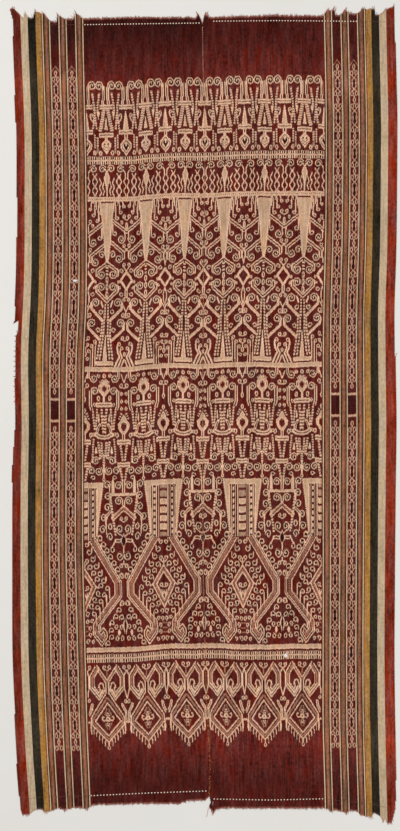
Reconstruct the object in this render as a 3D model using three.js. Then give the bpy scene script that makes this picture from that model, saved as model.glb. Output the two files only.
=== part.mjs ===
import * as THREE from 'three';

// Cloth lying flat: X across the width, Y along the warp, Z up from the surface it rests on.
// All sizes are in millimetres.
const CLOTH_THICKNESS = 1.5;
const SEAM_GAP = 0.3;
const FRAY_PITCH = 6.0;
const FRAY_DEPTH = 3.0;
const HOLE_SIDES = 10;
const QUIET_END_SLOPE = 1.2;

// Left selvedge from the far end to the near end, with a torn tip and a missing bite near the middle.
const LEFT_SELVEDGE = [
  { along: 1066, across: -515 },
  { along: 958, across: -513.5 },
  { along: 769, across: -506.5 },
  { along: 553, across: -503.5 },
  { along: 391, across: -505.5 },
  { along: 296, across: -509 },
  { along: 256, across: -509.5 },
  { along: 245, across: -514.5 },
  { along: 254, across: -500 },
  { along: 223, across: -502 },
  { along: 213, across: -506.5 },
  { along: 148, across: -509 },
  { along: -41, across: -509.5 },
  { along: -149, across: -517 },
  { along: -608, across: -517 },
  { along: -743, across: -512 },
  { along: -878, across: -507.5 },
  { along: -986, across: -502.5 },
];

// Right selvedge from the near end to the far end.
const RIGHT_SELVEDGE = [
  { along: -1067, across: 517 },
  { along: -1027, across: 520 },
  { along: -824, across: 518.5 },
  { along: -608, across: 515 },
  { along: -446, across: 515.5 },
  { along: -230, across: 518.5 },
  { along: -41, across: 520.5 },
  { along: 256, across: 516 },
  { along: 418, across: 519 },
  { along: 580, across: 523 },
  { along: 796, across: 523 },
  { along: 985, across: 519 },
  { along: 1039, across: 515.5 },
];

// Seam between the two panels, from the far end to the near end.
const SEAM = [
  { along: 1055, across: -3 },
  { along: 930, across: -1 },
  { along: 822, across: 3 },
  { along: 688, across: 4 },
  { along: 390, across: 0 },
  { along: 120, across: -2 },
  { along: -150, across: -2.5 },
  { along: -420, across: -1 },
  { along: -635, across: 4 },
  { along: -770, across: 7.5 },
  { along: -880, across: 14 },
  { along: -960, across: 17.5 },
  { along: -1030, across: 15.5 },
];

// Far end of the left panel: how far each stripe's cut warp ends reach.
const LEFT_FAR_END = [
  { stripe: 'red', across: -523, reach: 1095 },
  { stripe: 'red', across: -512, reach: 1097 },
  { stripe: 'white', across: -486, reach: 1069 },
  { stripe: 'white', across: -483, reach: 1086 },
  { stripe: 'black', across: -473, reach: 1072 },
  { stripe: 'black', across: -459, reach: 1072 },
  { stripe: 'ochre', across: -457, reach: 1089 },
  { stripe: 'outer pin stripes', across: -432, reach: 1084 },
  { stripe: 'outer ikat strip', across: -415, reach: 1063 },
  { stripe: 'outer ikat strip', across: -397, reach: 1060 },
  { stripe: 'middle pin stripes', across: -394, reach: 1079 },
  { stripe: 'inner ikat strip', across: -372, reach: 1068 },
  { stripe: 'inner ikat strip', across: -349, reach: 1070 },
  { stripe: 'inner pin stripes', across: -346, reach: 1085 },
  { stripe: 'field', across: -325, reach: 1069 },
  { stripe: 'field', across: -220, reach: 1073 },
  { stripe: 'field', across: -37, reach: 1073 },
  { stripe: 'field', across: -22, reach: 1070 },
  { stripe: 'field', across: -13.5, reach: 1082 },
  { stripe: 'field', across: -8, reach: 1070 },
];

// Far end of the right panel, from the seam outwards.
const RIGHT_FAR_END = [
  { stripe: 'field', across: 2, reach: 1079 },
  { stripe: 'field', across: 10, reach: 1079 },
  { stripe: 'field', across: 14, reach: 1073 },
  { stripe: 'field', across: 200, reach: 1079 },
  { stripe: 'field', across: 324, reach: 1077 },
  { stripe: 'inner pin stripes', across: 332, reach: 1090 },
  { stripe: 'inner pin stripes', across: 352, reach: 1094 },
  { stripe: 'inner ikat strip', across: 356, reach: 1079 },
  { stripe: 'inner ikat strip', across: 372, reach: 1081 },
  { stripe: 'middle pin stripes', across: 381, reach: 1094 },
  { stripe: 'outer ikat strip', across: 394, reach: 1083 },
  { stripe: 'outer ikat strip', across: 414, reach: 1083 },
  { stripe: 'outer pin stripes', across: 429, reach: 1096 },
  { stripe: 'ochre', across: 461, reach: 1096 },
  { stripe: 'black', across: 464, reach: 1079 },
  { stripe: 'black', across: 475, reach: 1080 },
  { stripe: 'white', across: 491, reach: 1093 },
  { stripe: 'red', across: 515, reach: 1104 },
];

// Near end of the left panel, from the selvedge to the seam.
const LEFT_NEAR_END = [
  { stripe: 'red', across: -494, reach: -1062 },
  { stripe: 'red', across: -490, reach: -1079 },
  { stripe: 'red', across: -475, reach: -1080 },
  { stripe: 'white', across: -466, reach: -1075 },
  { stripe: 'black', across: -452, reach: -1066 },
  { stripe: 'black', across: -433, reach: -1066 },
  { stripe: 'ochre', across: -429, reach: -1074 },
  { stripe: 'outer pin stripes', across: -409, reach: -1069 },
  { stripe: 'outer ikat strip', across: -396, reach: -1063 },
  { stripe: 'middle pin stripes', across: -374, reach: -1067 },
  { stripe: 'inner ikat strip', across: -340, reach: -1060 },
  { stripe: 'inner pin stripes', across: -315, reach: -1065 },
  { stripe: 'field', across: -300, reach: -1054 },
  { stripe: 'field', across: -145, reach: -1050 },
  { stripe: 'field', across: -64, reach: -1051 },
  { stripe: 'field', across: -38, reach: -1042 },
  { stripe: 'field', across: 4, reach: -1041 },
];

// Near end of the right panel, from the seam's torn tab outwards.
const RIGHT_NEAR_END = [
  { stripe: 'torn tab', across: 19.5, reach: -1047 },
  { stripe: 'torn tab', across: 13, reach: -1060 },
  { stripe: 'torn tab', across: 27, reach: -1075 },
  { stripe: 'field', across: 31, reach: -1067 },
  { stripe: 'field', across: 50, reach: -1062 },
  { stripe: 'field', across: 328, reach: -1063 },
  { stripe: 'inner pin stripes', across: 345, reach: -1072 },
  { stripe: 'inner ikat strip', across: 352, reach: -1066 },
  { stripe: 'middle pin stripes', across: 387, reach: -1076 },
  { stripe: 'outer ikat strip', across: 392, reach: -1069 },
  { stripe: 'outer ikat strip', across: 411, reach: -1069 },
  { stripe: 'outer pin stripes', across: 425, reach: -1082 },
  { stripe: 'ochre', across: 454, reach: -1088 },
  { stripe: 'black', across: 457, reach: -1076 },
  { stripe: 'black', across: 470, reach: -1079 },
  { stripe: 'white', across: 486, reach: -1097 },
  { stripe: 'red', across: 491, reach: -1089 },
  { stripe: 'red', across: 496, reach: -1104 },
  { stripe: 'red', across: 508, reach: -1102 },
];

// Holes worn through the cloth.
const LEFT_HOLES = [
  { across: -347, along: 362, width: 12, length: 7 },
];
const RIGHT_HOLES = [
  { across: 222, along: -650, width: 9.5, length: 12 },
  { across: 385.5, along: -652, width: 3, length: 4 },
];

const LEFT_COLOUR = 0x6b2b27;
const RIGHT_COLOUR = 0x6f2d29;
const CLOTH_ROUGHNESS = 0.92;

// A repeatable value from 0 to 1 for each warp bundle, so that the raw ends differ in length.
function frayAmount(index) {
  const wave = Math.sin(index * 12.9898) * 43758.5453;
  return wave - Math.floor(wave);
}

// Adds one short notch per warp bundle between the stations of a cut end.
function frayedEnd(stations, inwards) {
  const points = [];
  stations.forEach((from, row) => {
    points.push(new THREE.Vector2(from.across, from.reach));
    const to = stations[row + 1];
    if (!to) {
      return;
    }
    const run = to.across - from.across;
    const rise = to.reach - from.reach;
    const bundles = Math.floor(Math.abs(run) / FRAY_PITCH);
    if (bundles < 2 || Math.abs(rise / run) > QUIET_END_SLOPE) {
      return;
    }
    for (let bundle = 1; bundle < bundles; bundle += 1) {
      const share = bundle / bundles;
      const depth = FRAY_DEPTH * frayAmount(Math.round(from.across) + bundle);
      const notch = bundle % 2 === 1 ? depth : 0;
      const reach = from.reach + rise * share + inwards * notch;
      points.push(new THREE.Vector2(from.across + run * share, reach));
    }
  });
  return points;
}

// Points along an edge that runs with the warp, moved sideways by a given distance.
function warpEdge(stations, sideways) {
  return stations.map((station) => new THREE.Vector2(station.across + sideways, station.along));
}

// Outline of a worn hole.
function holePath(hole) {
  const path = new THREE.Path();
  for (let side = 0; side < HOLE_SIDES; side += 1) {
    const turn = (side / HOLE_SIDES) * Math.PI * 2;
    const x = hole.across + (hole.width / 2) * Math.cos(turn);
    const y = hole.along + (hole.length / 2) * Math.sin(turn);
    if (side === 0) {
      path.moveTo(x, y);
    } else {
      path.lineTo(x, y);
    }
  }
  path.closePath();
  return path;
}

// One loom width as a closed flat body that rests on Z = 0.
function panel(name, outline, holes, colour) {
  const shape = new THREE.Shape(outline);
  shape.holes = holes.map(holePath);
  const geometry = new THREE.ExtrudeGeometry(shape, { depth: CLOTH_THICKNESS, bevelEnabled: false });
  const material = new THREE.MeshStandardMaterial({
    color: colour,
    roughness: CLOTH_ROUGHNESS,
    metalness: 0,
  });
  const mesh = new THREE.Mesh(geometry, material);
  mesh.name = name;
  return mesh;
}

const leftOutline = [
  ...warpEdge(LEFT_SELVEDGE, 0),
  ...frayedEnd(LEFT_NEAR_END, 1),
  ...warpEdge([...SEAM].reverse(), -SEAM_GAP / 2),
  ...frayedEnd([...LEFT_FAR_END].reverse(), -1),
];

const rightOutline = [
  ...warpEdge(SEAM, SEAM_GAP / 2),
  ...frayedEnd(RIGHT_NEAR_END, 1),
  ...warpEdge(RIGHT_SELVEDGE, 0),
  ...frayedEnd([...RIGHT_FAR_END].reverse(), -1),
];

const cloth = new THREE.Group();
cloth.name = 'ikat_cloth';
cloth.add(panel('left_panel', leftOutline, LEFT_HOLES, LEFT_COLOUR));
cloth.add(panel('right_panel', rightOutline, RIGHT_HOLES, RIGHT_COLOUR));

export default cloth;
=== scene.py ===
import math

import bpy
import numpy as np
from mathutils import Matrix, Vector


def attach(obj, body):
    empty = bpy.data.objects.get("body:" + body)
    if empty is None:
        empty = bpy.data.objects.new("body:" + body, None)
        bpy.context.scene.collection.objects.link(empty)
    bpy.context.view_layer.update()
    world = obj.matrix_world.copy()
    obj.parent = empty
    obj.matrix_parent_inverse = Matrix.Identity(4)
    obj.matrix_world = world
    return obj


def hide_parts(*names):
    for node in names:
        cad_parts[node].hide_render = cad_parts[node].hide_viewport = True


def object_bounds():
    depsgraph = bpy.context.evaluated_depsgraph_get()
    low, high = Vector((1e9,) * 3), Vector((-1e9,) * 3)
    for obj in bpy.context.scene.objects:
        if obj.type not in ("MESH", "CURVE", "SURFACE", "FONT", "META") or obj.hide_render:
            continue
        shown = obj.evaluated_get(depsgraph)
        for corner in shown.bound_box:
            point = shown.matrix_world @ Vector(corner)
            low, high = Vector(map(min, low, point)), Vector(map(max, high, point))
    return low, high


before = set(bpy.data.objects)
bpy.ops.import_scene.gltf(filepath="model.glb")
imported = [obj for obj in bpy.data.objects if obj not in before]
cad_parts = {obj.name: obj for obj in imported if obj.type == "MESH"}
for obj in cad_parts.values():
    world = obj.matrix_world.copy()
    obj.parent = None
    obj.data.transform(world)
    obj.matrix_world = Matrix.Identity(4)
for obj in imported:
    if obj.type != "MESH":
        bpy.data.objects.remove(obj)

cad_low, cad_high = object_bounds()

# The cloth is two lengths of handspun cotton from a narrow backstrap loom, laid side by side.
# The warp was tied in small bundles, dyed in madder red and untied, so the design runs along it.
# Its weft is hidden, so each stripe and each figure is drawn by the warp alone.
BUNDLE = 0.0027  # one tied bundle of warp, the unit of the design across and along
MIDDLE_ROW = 414.7  # rows of the design from its far end to the middle of the cloth
HALF_REPEAT = 39.667  # bundles from the axis of a ladder frame to that of the next star of hooks
FRAMES = 0.0  # the axes, in bundles: of the ladder frames, the standing figures and the stars
FIGURES = HALF_REPEAT / 2
STARS = HALF_REPEAT
QUARTER = HALF_REPEAT / 4
CHART_ROWS = (60.0, 762.0)  # the first and the last row of the design
FINE_ACROSS = 0.25  # bundles to one place of a chart
FINE_ALONG = 0.125
BOTH = (1, -1)  # on both sides of an axis
ONE = (1,)
NO_YARN = -1

# What a stretch of warp can be, and its colour as the eye reads it, 0 to 255.
YARNS = {
    "ground": (90, 35, 30),
    "cream": (228, 184, 154),
    "tan": (194, 159, 130),
    "blush": (162, 112, 92),
    "faded": (166, 131, 108),
    "shade": (64, 21, 19),
    "deep": (50, 17, 17),
    "red": (132, 54, 41),
    "white": (191, 168, 139),
    "black": (49, 42, 32),
    "ochre": (168, 123, 70),
    "pin cream": (206, 176, 146),
    "pin black": (40, 34, 25),
    "pin brown": (136, 88, 54),
    "pin rose": (134, 76, 70),
    "pin pale": (158, 116, 102),
    "pin red": (100, 36, 32),
    "strip": (84, 34, 30),
    "strip cream": (204, 158, 132),
}
TONE = {name: number for number, name in enumerate(YARNS)}
GROUND, CREAM, BLUSH, FADED, DEEP = (TONE[name] for name in ("ground", "cream", "blush", "faded", "deep"))


def linear(red, green, blue):
    """A colour as the eye reads it, 0 to 255, as the light that it gives back."""
    shares = np.array([red, green, blue]) / 255
    return (*np.where(shares < 0.04045, shares / 12.92, ((shares + 0.055) / 1.055) ** 2.4), 1.0)


def blank_chart(width):
    """A chart of plain ground, so many bundles wide, with one number of a yarn for each small place."""
    rows = round((CHART_ROWS[1] - CHART_ROWS[0]) / FINE_ALONG)
    return np.zeros((math.ceil(width / FINE_ACROSS), rows), np.int8)


chart = blank_chart(HALF_REPEAT)
turning = [FRAMES, STARS]  # axes on which the chart in hand is turned over


def window(low, high):
    """The part of the chart between two corners: its slices, and the places in it."""
    first = [max(0, int(low[0] / FINE_ACROSS)), max(0, int((low[1] - CHART_ROWS[0]) / FINE_ALONG))]
    last = [int(high[0] / FINE_ACROSS) + 2, int((high[1] - CHART_ROWS[0]) / FINE_ALONG) + 2]
    last = [min(last[0], chart.shape[0]), min(last[1], chart.shape[1])]
    if last[0] <= first[0] or last[1] <= first[1]:
        return None
    across = (np.arange(first[0], last[0]) + 0.5) * FINE_ACROSS
    along = (np.arange(first[1], last[1]) + 0.5) * FINE_ALONG + CHART_ROWS[0]
    return (slice(first[0], last[0]), slice(first[1], last[1])), across[:, None], along[None, :]


def tie(path, width, tone):
    """Marks one line of the design, a path of (across, row), on the chart."""
    found = window(path.min(0) - width, path.max(0) + width)
    if found is None:
        return
    part, across, along = found
    near = np.zeros((across.size, along.size), bool)
    for (a, b), (c, d) in zip(path[:-1], path[1:]):
        run = max((c - a) ** 2 + (d - b) ** 2, 1e-9)
        share = np.clip(((across - a) * (c - a) + (along - b) * (d - b)) / run, 0, 1)
        gap = (across - a - share * (c - a)) ** 2 + (along - b - share * (d - b)) ** 2
        near |= gap < (width / 2) ** 2
    chart[part][near] = tone


def tie_solid(path, tone):
    """Marks a closed shape on the chart."""
    found = window(path.min(0), path.max(0))
    if found is None:
        return
    part, across, along = found
    within = np.zeros((across.size, along.size), bool)
    for (a, b), (c, d) in zip(path, np.roll(path, -1, 0)):
        if b != d:
            crossed = (along >= min(b, d)) & (along < max(b, d))
            within ^= crossed & (across < a + (along - b) * (c - a) / (d - b))
    chart[part][within] = tone


def turned(axis, path, sides):
    """The path beside its own axis, and as it falls where the bundles are folded over."""
    path = np.array(path, float)
    for side in sides:
        across = axis + side * path[:, 0]
        for image in (across, 2 * turning[0] - across, 2 * turning[1] - across):
            if image.max() > turning[0] - 2 and image.min() < turning[1] + 2:
                yield np.column_stack([image, path[:, 1]])


def line(axis, path, width=1.15, tone=CREAM, sides=BOTH):
    for image in turned(axis, path, sides):
        tie(image, width, tone)


def solid(axis, path, tone=CREAM, sides=BOTH):
    for image in turned(axis, path, sides):
        tie_solid(image, tone)


def block(axis, first, last, low, high, tone=CREAM, sides=BOTH):
    """A rectangle from one row to another, between two places beside the axis."""
    solid(axis, [(low, first), (high, first), (high, last), (low, last)], tone, sides)


def stem(axis, first, last, width=1.0, tone=CREAM):
    """A line along the axis itself, from one row to another."""
    line(axis, [(0, first), (0, last)], width, tone, ONE)


def double(axis, path, total=3.2, edge=1.1, sides=BOTH, tone=GROUND):
    """Two lines side by side, closed at the ends, with another tone between them."""
    line(axis, path, total, CREAM, sides)
    line(axis, path, total - 2 * edge, tone, sides)


def curl(axis, across, row, radius, start, turn=1, tall=1.15, width=0.95, sides=BOTH, tail=0):
    """A line that winds inwards from an angle, where 0 is outwards and 90 towards the near end."""
    widest = radius - width / 2
    inmost = 0.5 if radius > 3 else 0.42 * widest
    turns = min((widest - inmost) / 2.1, 1.65) if radius > 3 else 0.9
    share = np.linspace(0, 1, round(6 + 9 * turns))
    angle = np.radians(start + turn * 360 * turns * share)
    reach = widest - (widest - inmost) * share ** 1.4
    path = [across + reach * np.cos(angle), row + reach * tall * np.sin(angle)]
    if tail:
        first = (path[0][0], path[1][0])
        back = (first[0] + turn * tail * math.sin(angle[0]), first[1] - turn * tail * math.cos(angle[0]))
        line(axis, [first, back], width - 0.08, CREAM, sides)
    spot(axis, across, row, widest - 0.4, (widest - 0.4) * tall, DEEP if radius > 2.5 else GROUND, sides)
    line(axis, np.column_stack(path), width - 0.08, CREAM, sides)


def ring(axis, across, row, half, tall, width=1.0, sides=BOTH, tone=CREAM):
    angle = np.linspace(0, 2 * math.pi, 13)
    path = [across + (half - width / 2) * np.cos(angle), row + (tall - width / 2) * np.sin(angle)]
    line(axis, np.column_stack(path), width, tone, sides)


def spot(axis, across, row, half, tall, tone=CREAM, sides=BOTH):
    angle = np.linspace(0, 2 * math.pi, 13)[:-1]
    solid(axis, np.column_stack([across + half * np.cos(angle), row + tall * np.sin(angle)]), tone, sides)


def beads(axis, start, end, width, pitch, share=0.62, tone=CREAM, sides=BOTH):
    """A row of short marks from start to end."""
    start, end = np.array(start, float), np.array(end, float)
    count = max(1, round(np.hypot(*(end - start)) / pitch))
    step = (end - start) / count
    across = np.array([step[1], -step[0]]) / np.hypot(*step) * width / 2
    for number in range(count):
        low = start + step * number
        high = low + step * share
        solid(axis, [low - across, low + across, high + across, high - across], tone, sides)


def tapered(axis, profile, pitch=2.2, bite=0.5, tone=CREAM):
    """A solid with toothed sides, centred on its axis, from a profile of (half width, row)."""
    halves, rows = np.array(profile, float).T
    count = max(2, round((rows[-1] - rows[0]) / pitch * 2))
    marks = np.linspace(rows[0], rows[-1], count + 1)
    widths = np.interp(marks, rows, halves) - bite * (np.arange(count + 1) % 2)
    widths = np.maximum(widths, 0.3)
    path = [*zip(widths, marks), *zip(-widths[::-1], marks[::-1])]
    solid(axis, path, tone, ONE)


def drop(axis, across, row, half=1.4, tall=3.6):
    """A solid teardrop on each side of the axis."""
    solid(axis, [(across - 0.3, row - tall), (across + 0.3, row - tall), (across + half, row + tall * 0.5),
                 (across, row + tall), (across - half, row + tall * 0.5)])


def hanging(axis, across, row, radius, top, sway=0.5):
    """A curl on a wavy line that comes down its outer side."""
    side = across + radius - 0.5
    line(axis, [(side + sway, top), (side - sway, (top + row) / 2), (side, row)], 1.05)
    curl(axis, across, row, radius, 0, 1)


def heart(axis, row, radius=2.2, up=True, lean=1.6):
    """A pair of curls that grow from one point on the axis, over it or under it."""
    way = 1 if up else -1
    curl(axis, radius + 0.1, row, radius, 60 * way, -way)
    foot = (radius + 0.1 + 0.5 * (radius - 0.5), row + way * (radius - 0.5))
    line(axis, [(0, row + way * radius * lean), foot], 1.0)


def bar(axis, half, row, thickness):
    """A short straight bar with a thin dark line along its middle."""
    block(axis, row - thickness / 2, row + thickness / 2, 0, half)
    line(axis, [(0, row), (half - 1.1, row)], 1.1, GROUND)


def beside(path, distance):
    """The same path moved to its own side."""
    path = np.array(path, float)
    ahead = np.diff(path, axis=0)
    ahead /= np.hypot(ahead[:, 0], ahead[:, 1])[:, None]
    mean = np.vstack([ahead[:1], (ahead[1:] + ahead[:-1]) / 2, ahead[-1:]])
    mean /= (mean ** 2).sum(1)[:, None]
    return path + distance * np.column_stack([-mean[:, 1], mean[:, 0]])


def rule(row, thickness, tone=CREAM):
    """A line straight across the whole panel."""
    line(FIGURES, [(-22, row), (22, row)], thickness, tone, ONE)


def comb(middle, first, last):
    """A line across the whole panel with fine teeth on both its sides."""
    block(FRAMES, first, last, 0, HALF_REPEAT, DEEP, ONE)
    pitch = HALF_REPEAT / 18
    for number in range(18):
        block(FRAMES, first, last, (number + 0.27) * pitch, (number + 0.73) * pitch, CREAM, ONE)
    rule(middle, 1.5)


def far_spirals():
    """Rows 73 to 106: paired spirals on double stems, over a broken bar."""
    for axis in (FRAMES, FIGURES, STARS):
        bar(axis, 8.6, 103, 4.4)
        line(axis, [(1.2, 83), (1.2, 95.5), (2, 97), (2, 101)], 1.0)
        line(axis, [(3.0, 82), (3.0, 95.5), (3.7, 97), (3.7, 101)], 1.0)
    for axis in (QUARTER, 3 * QUARTER):
        curl(axis, 3.6, 82.0, 4.3, 0, -1, 1.2)
        line(axis, [(7.3, 82.2), (7.3, 86)], 1.0)
        line(axis, [(3.2, 92), (1.7, 101), (1.7, 108)], 3.2, GROUND)
        solid(axis, [(2.6, 88.5), (4.9, 88.5), (4.1, 92.5), (2.4, 92.5)], BLUSH)
        beads(axis, (3.5, 90), (1.6, 103), 1.9, 2.5)
        beads(axis, (1.6, 103), (1.7, 108), 1.9, 2.5)


def small_figures():
    """Rows 104 to 152: small standing figures, of two kinds by turns."""
    for axis in (FRAMES, STARS):
        tapered(axis, [(0.5, 107.3), (1.6, 114), (3.0, 126)], 2.6, 0.45)
        curl(axis, 5.5, 111.5, 2.0, 150, 1, 1.2)
        line(axis, [(4.1, 113), (5.4, 116.5), (7.9, 118.5)], 1.05)
        beads(axis, (8.5, 108), (6.5, 126), 1.7, 2.7)
        beads(axis, (8.2, 130.5), (8.2, 145), 1.5, 2.6)
        bar(axis, 6.8, 128.2, 4.5)
        line(axis, [(1.1, 130.5), (1.1, 134.5)], 1.0)
        solid(axis, [(0, 133.6), (5.5, 140), (5.3, 144.5), (0, 151.8)])
        line(axis, [(0, 136.6), (3.9, 141), (3.8, 144.4), (0, 149)], 0.8, DEEP)
        solid(axis, [(0, 141.4), (1.6, 139.2), (2.7, 142), (0, 147)], DEEP)
        spot(axis, 0, 141.4, 0.6, 0.8)
        ring(axis, 8.0, 149, 1.6, 2.3)
    beads(FIGURES, (1.9, 105.8), (6.1, 128), 3.4, 2.25, 0.68)
    tapered(FIGURES, [(0.3, 114.5), (1.9, 126)], 2.6, 0.3)
    beads(FIGURES, (11.2, 108), (9.5, 126), 1.7, 2.7)
    solid(FIGURES, [(6.2, 107.5), (9.2, 107.5), (8.6, 111), (7.6, 116.5)])
    bar(FIGURES, 7.2, 131.2, 4.5)
    line(FIGURES, [(0.8, 133), (0.8, 136)], 1.0)
    solid(FIGURES, [(0, 134.6), (4.8, 139.8), (4.5, 143.6), (0, 150.4)])
    spot(FIGURES, 1.7, 140.2, 0.9, 1.2, DEEP)
    line(FIGURES, [(0, 144.4), (3, 141.6)], 0.7, DEEP)
    line(FIGURES, [(0, 147.2), (3.4, 143.8)], 0.7, DEEP)
    beads(FIGURES, (9.0, 133.5), (9.0, 143.5), 1.6, 2.5)
    solid(FIGURES, [(8.5, 143), (9.5, 143), (10, 146.5), (9.7, 149), (8.4, 149), (8, 146.5)], FADED)
    ring(FIGURES, 6.0, 149.2, 1.7, 2.5)


def spindles():
    """Rows 152 to 198: a comb, a lattice with spindles in it, and a dashed line."""
    comb(156.5, 152.9, 160.2)
    rows = np.arange(169, 193.6, 0.93)
    for axis in (FRAMES, STARS):
        for place, first in ((0, 173), (7.6, 169)):
            shown = rows[rows > first]
            bulge = 0.5 + 0.5 * np.cos((shown - 177.6) / 9.3 * 2 * math.pi)
            for side in (1, -1):
                line(axis, np.column_stack([place + side * (0.55 + 1.9 * bulge), shown]), 0.95)
        shown = rows[rows > 174]
        line(axis, np.column_stack([13.2 + 0.9 * np.sin(shown / 9.3 * 2 * math.pi), shown]), 0.95)
        line(axis, [(16.8, 178), (15.4, 183), (17.2, 187), (16, 191)], 0.95)
        curl(axis, 6.1, 165.2, 4.0, 200, 1, 1.1)
        line(axis, [(2.9, 166.2), (1.2, 169.5), (1.2, 174)], 1.05)
    curl(FIGURES, 4.4, 164.8, 4.0, 200, 1, 1.1)
    line(FIGURES, [(1.4, 165.5), (0, 169)], 1.1)
    tapered(FIGURES, [(0.6, 167), (1.5, 169), (3.3, 173.5), (3.1, 176), (1.3, 183), (0.8, 188), (0.6, 193.5)],
            2.4, 0.6)
    rule(195.2, 4.3)
    beads(FRAMES, (0.5, 195.2), (HALF_REPEAT, 195.2), 1.2, 2.0, 0.5, GROUND, ONE)


def pillars():
    """Rows 198 to 297: tall pillars with arms that end in spirals, and a lozenge between them."""
    for axis, lift in ((FRAMES, 0.0), (STARS, 3.6)):
        for place, row, radius in ((2.5, 205.2, 1.9), (5.9, 211, 2.1), (9.6, 216.6, 2.2)):
            hanging(axis, place, row - lift * 0.8, radius, 197)
            line(axis, [(place + 3.3, 197), (place + 3.1, row - lift - 6)], 0.75)
        heart(axis, 218 - lift * 1.5, 2.1)
        curl(axis, 5, 221.8 - lift, 1.9, 90, 1)
        ring(axis, 0, 225.6 - lift, 1.3, 3.6, 1.0, ONE)
        double(axis, [(14.9, 219.8 - lift), (0, 231.6 - lift)], 3.4, 1.1)
        line(axis, [(1.9, 231 - lift), (1.5, 239 - lift)], 1.1)
        curl(axis, 5.3, 238.8 - lift, 4.2, 180, -1, 1.12)
        hanging(axis, 12.1, 234 - lift * 1.3, 2.6, 224 - lift, 0)
        heart(axis, 246 - lift * 1.2, 2.1)
        double(axis, [(16.9, 241 - lift), (3.2, 252.3 - lift), (3.2, 257.5 - lift)], 3.4, 1.1)
        curl(axis, 7.7, 258.2 - lift, 4.1, 180, -1, 1.12)
        curl(axis, 4.9, 267.2, 2.4, 0, -1)
        line(axis, [(0, 267.8), (5.9, 276.5), (0, 285.3)], 2.1)
        curl(axis, 7.7, 278, 1.7, 180, 1)
        curl(axis, 6.6, 283.8, 1.6, 270, 1)
        curl(axis, 5.2, 290, 2.4, 180, -1)
    line(FRAMES, [(0.5, 250), (1.6, 255), (0, 264)], 1.0)
    line(STARS, [(0, 245.5), (2.4, 248)], 1.1)
    heart(STARS, 261, 2.1, lean=2.6)
    line(FRAMES, [(0, 287), (1.7, 293), (1.3, 300), (0, 304)], 1.0)
    line(STARS, [(0.9, 286), (0.9, 292)], 1.0)
    heart(STARS, 296, 1.9, False)
    tapered(FIGURES, [(7.6, 199.2), (5.8, 217), (4.1, 235.5), (2.5, 252), (1.2, 259.5)], 2.3, 0.7)
    curl(FIGURES, 5.5, 250.8, 3.7, 180, 1, 1.15)
    double(FIGURES, [(0, 259.2), (10.2, 266.6), (10.2, 271)], 3.5, 1.15)
    curl(FIGURES, 6, 270.6, 4.3, 0, 1, 1.1)
    double(FIGURES, [(0, 297.2), (10.2, 287), (10.2, 282.5)], 3.5, 1.15)
    curl(FIGURES, 6, 283.2, 4.3, 0, -1, 1.1)
    spot(FIGURES, 0, 260.3, 1.0, 1.1, GROUND)
    beads(FIGURES, (0, 263), (0, 272.5), 2.4, 3.1, 0.55, sides=ONE)
    for row in (276, 283.2, 290.6):
        ring(FIGURES, 0, row, 1.5, 3.3, 1.0, ONE)


def ladders():
    """Rows 296 to 368: branching trunks on spread ladders, and the thick line that they stand on."""
    line(FIGURES, [(5.9, 297.5), (4, 303)], 1.5)
    curl(FIGURES, 6.0, 307.6, 2.6, 200, -1, 1.2)
    line(FIGURES, [(3.9, 316.6), (15.4, 304.6), (15.5, 299)], 2.6)
    curl(FIGURES, 11.3, 298.8, 4.4, 0, -1, 1.1)
    for low, high in (((1.3, 300), (1.9, 318)), ((1.9, 318), (2.2, 331)), ((2.2, 331), (5.2, 356.5)),
                      ((4.1, 316), (4.6, 331)), ((4.6, 331), (8.1, 356.5))):
        beads(FIGURES, low, high, 1.7, 3.1, 0.64)
    for axis, lift in ((FRAMES, 1.0), (STARS, -0.6)):
        line(axis, [(13.4, 336 - lift), (1.9, 324.8 - lift), (1.7, 319)], 2.4)
        curl(axis, 5.2, 319.3, 4.2, 180, 1, 1.15)
        curl(axis, 12.0, 326.5, 2.5, 200, 1, 1.2)
    tapered(FIGURES, [(0.3, 331), (2.7, 357.5)], 2.9, 0.45)
    block(FIGURES, 357.2, 361.4, -9, 9, CREAM, ONE)
    for axis in (FRAMES, STARS):
        line(axis, [(2.8, 302), (0, 307.5), (0, 313)], 1.0)
        heart(axis, 311.2, 2.3, True, 1.0)
        heart(axis, 334.4, 2.1, True, 1.0)
    heart(FRAMES, 341, 1.8)
    stem(FRAMES, 343.5, 347, 1.1)
    ring(FRAMES, 0, 350, 1.6, 2.7, 1.0, ONE)
    for place, row, foot in ((9.2, 338, 10.2), (6.2, 342.5, 7.7), (3.6, 347.6, 5.3)):
        curl(FRAMES, place, row, 2.1, 0, -1, 1.2)
        line(FRAMES, [(place + 1.6, row), (foot, row + 5), (foot - 0.3, 363)], 0.85)
    curl(FRAMES, 2.4, 355.4, 2.0, 0, -1, 1.2)
    curl(STARS, 5.5, 340.4, 2.2, 0, -1, 1.2)
    line(STARS, [(7.2, 340.6), (7.5, 343.4), (7.1, 347.5), (4.8, 352.6), (7.3, 357.6), (9.6, 363)], 1.6)
    curl(STARS, 2.7, 344.8, 2.0, 0, -1, 1.2)
    line(STARS, [(4.2, 345), (4.4, 348.5), (2.1, 353), (4.6, 359), (6.3, 363)], 1.5)
    line(STARS, [(0.4, 355.6), (3.2, 363)], 1.3)
    ring(STARS, 0, 350.2, 1.2, 2.0, 0.9, ONE)
    rule(365.3, 4.7)


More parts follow.
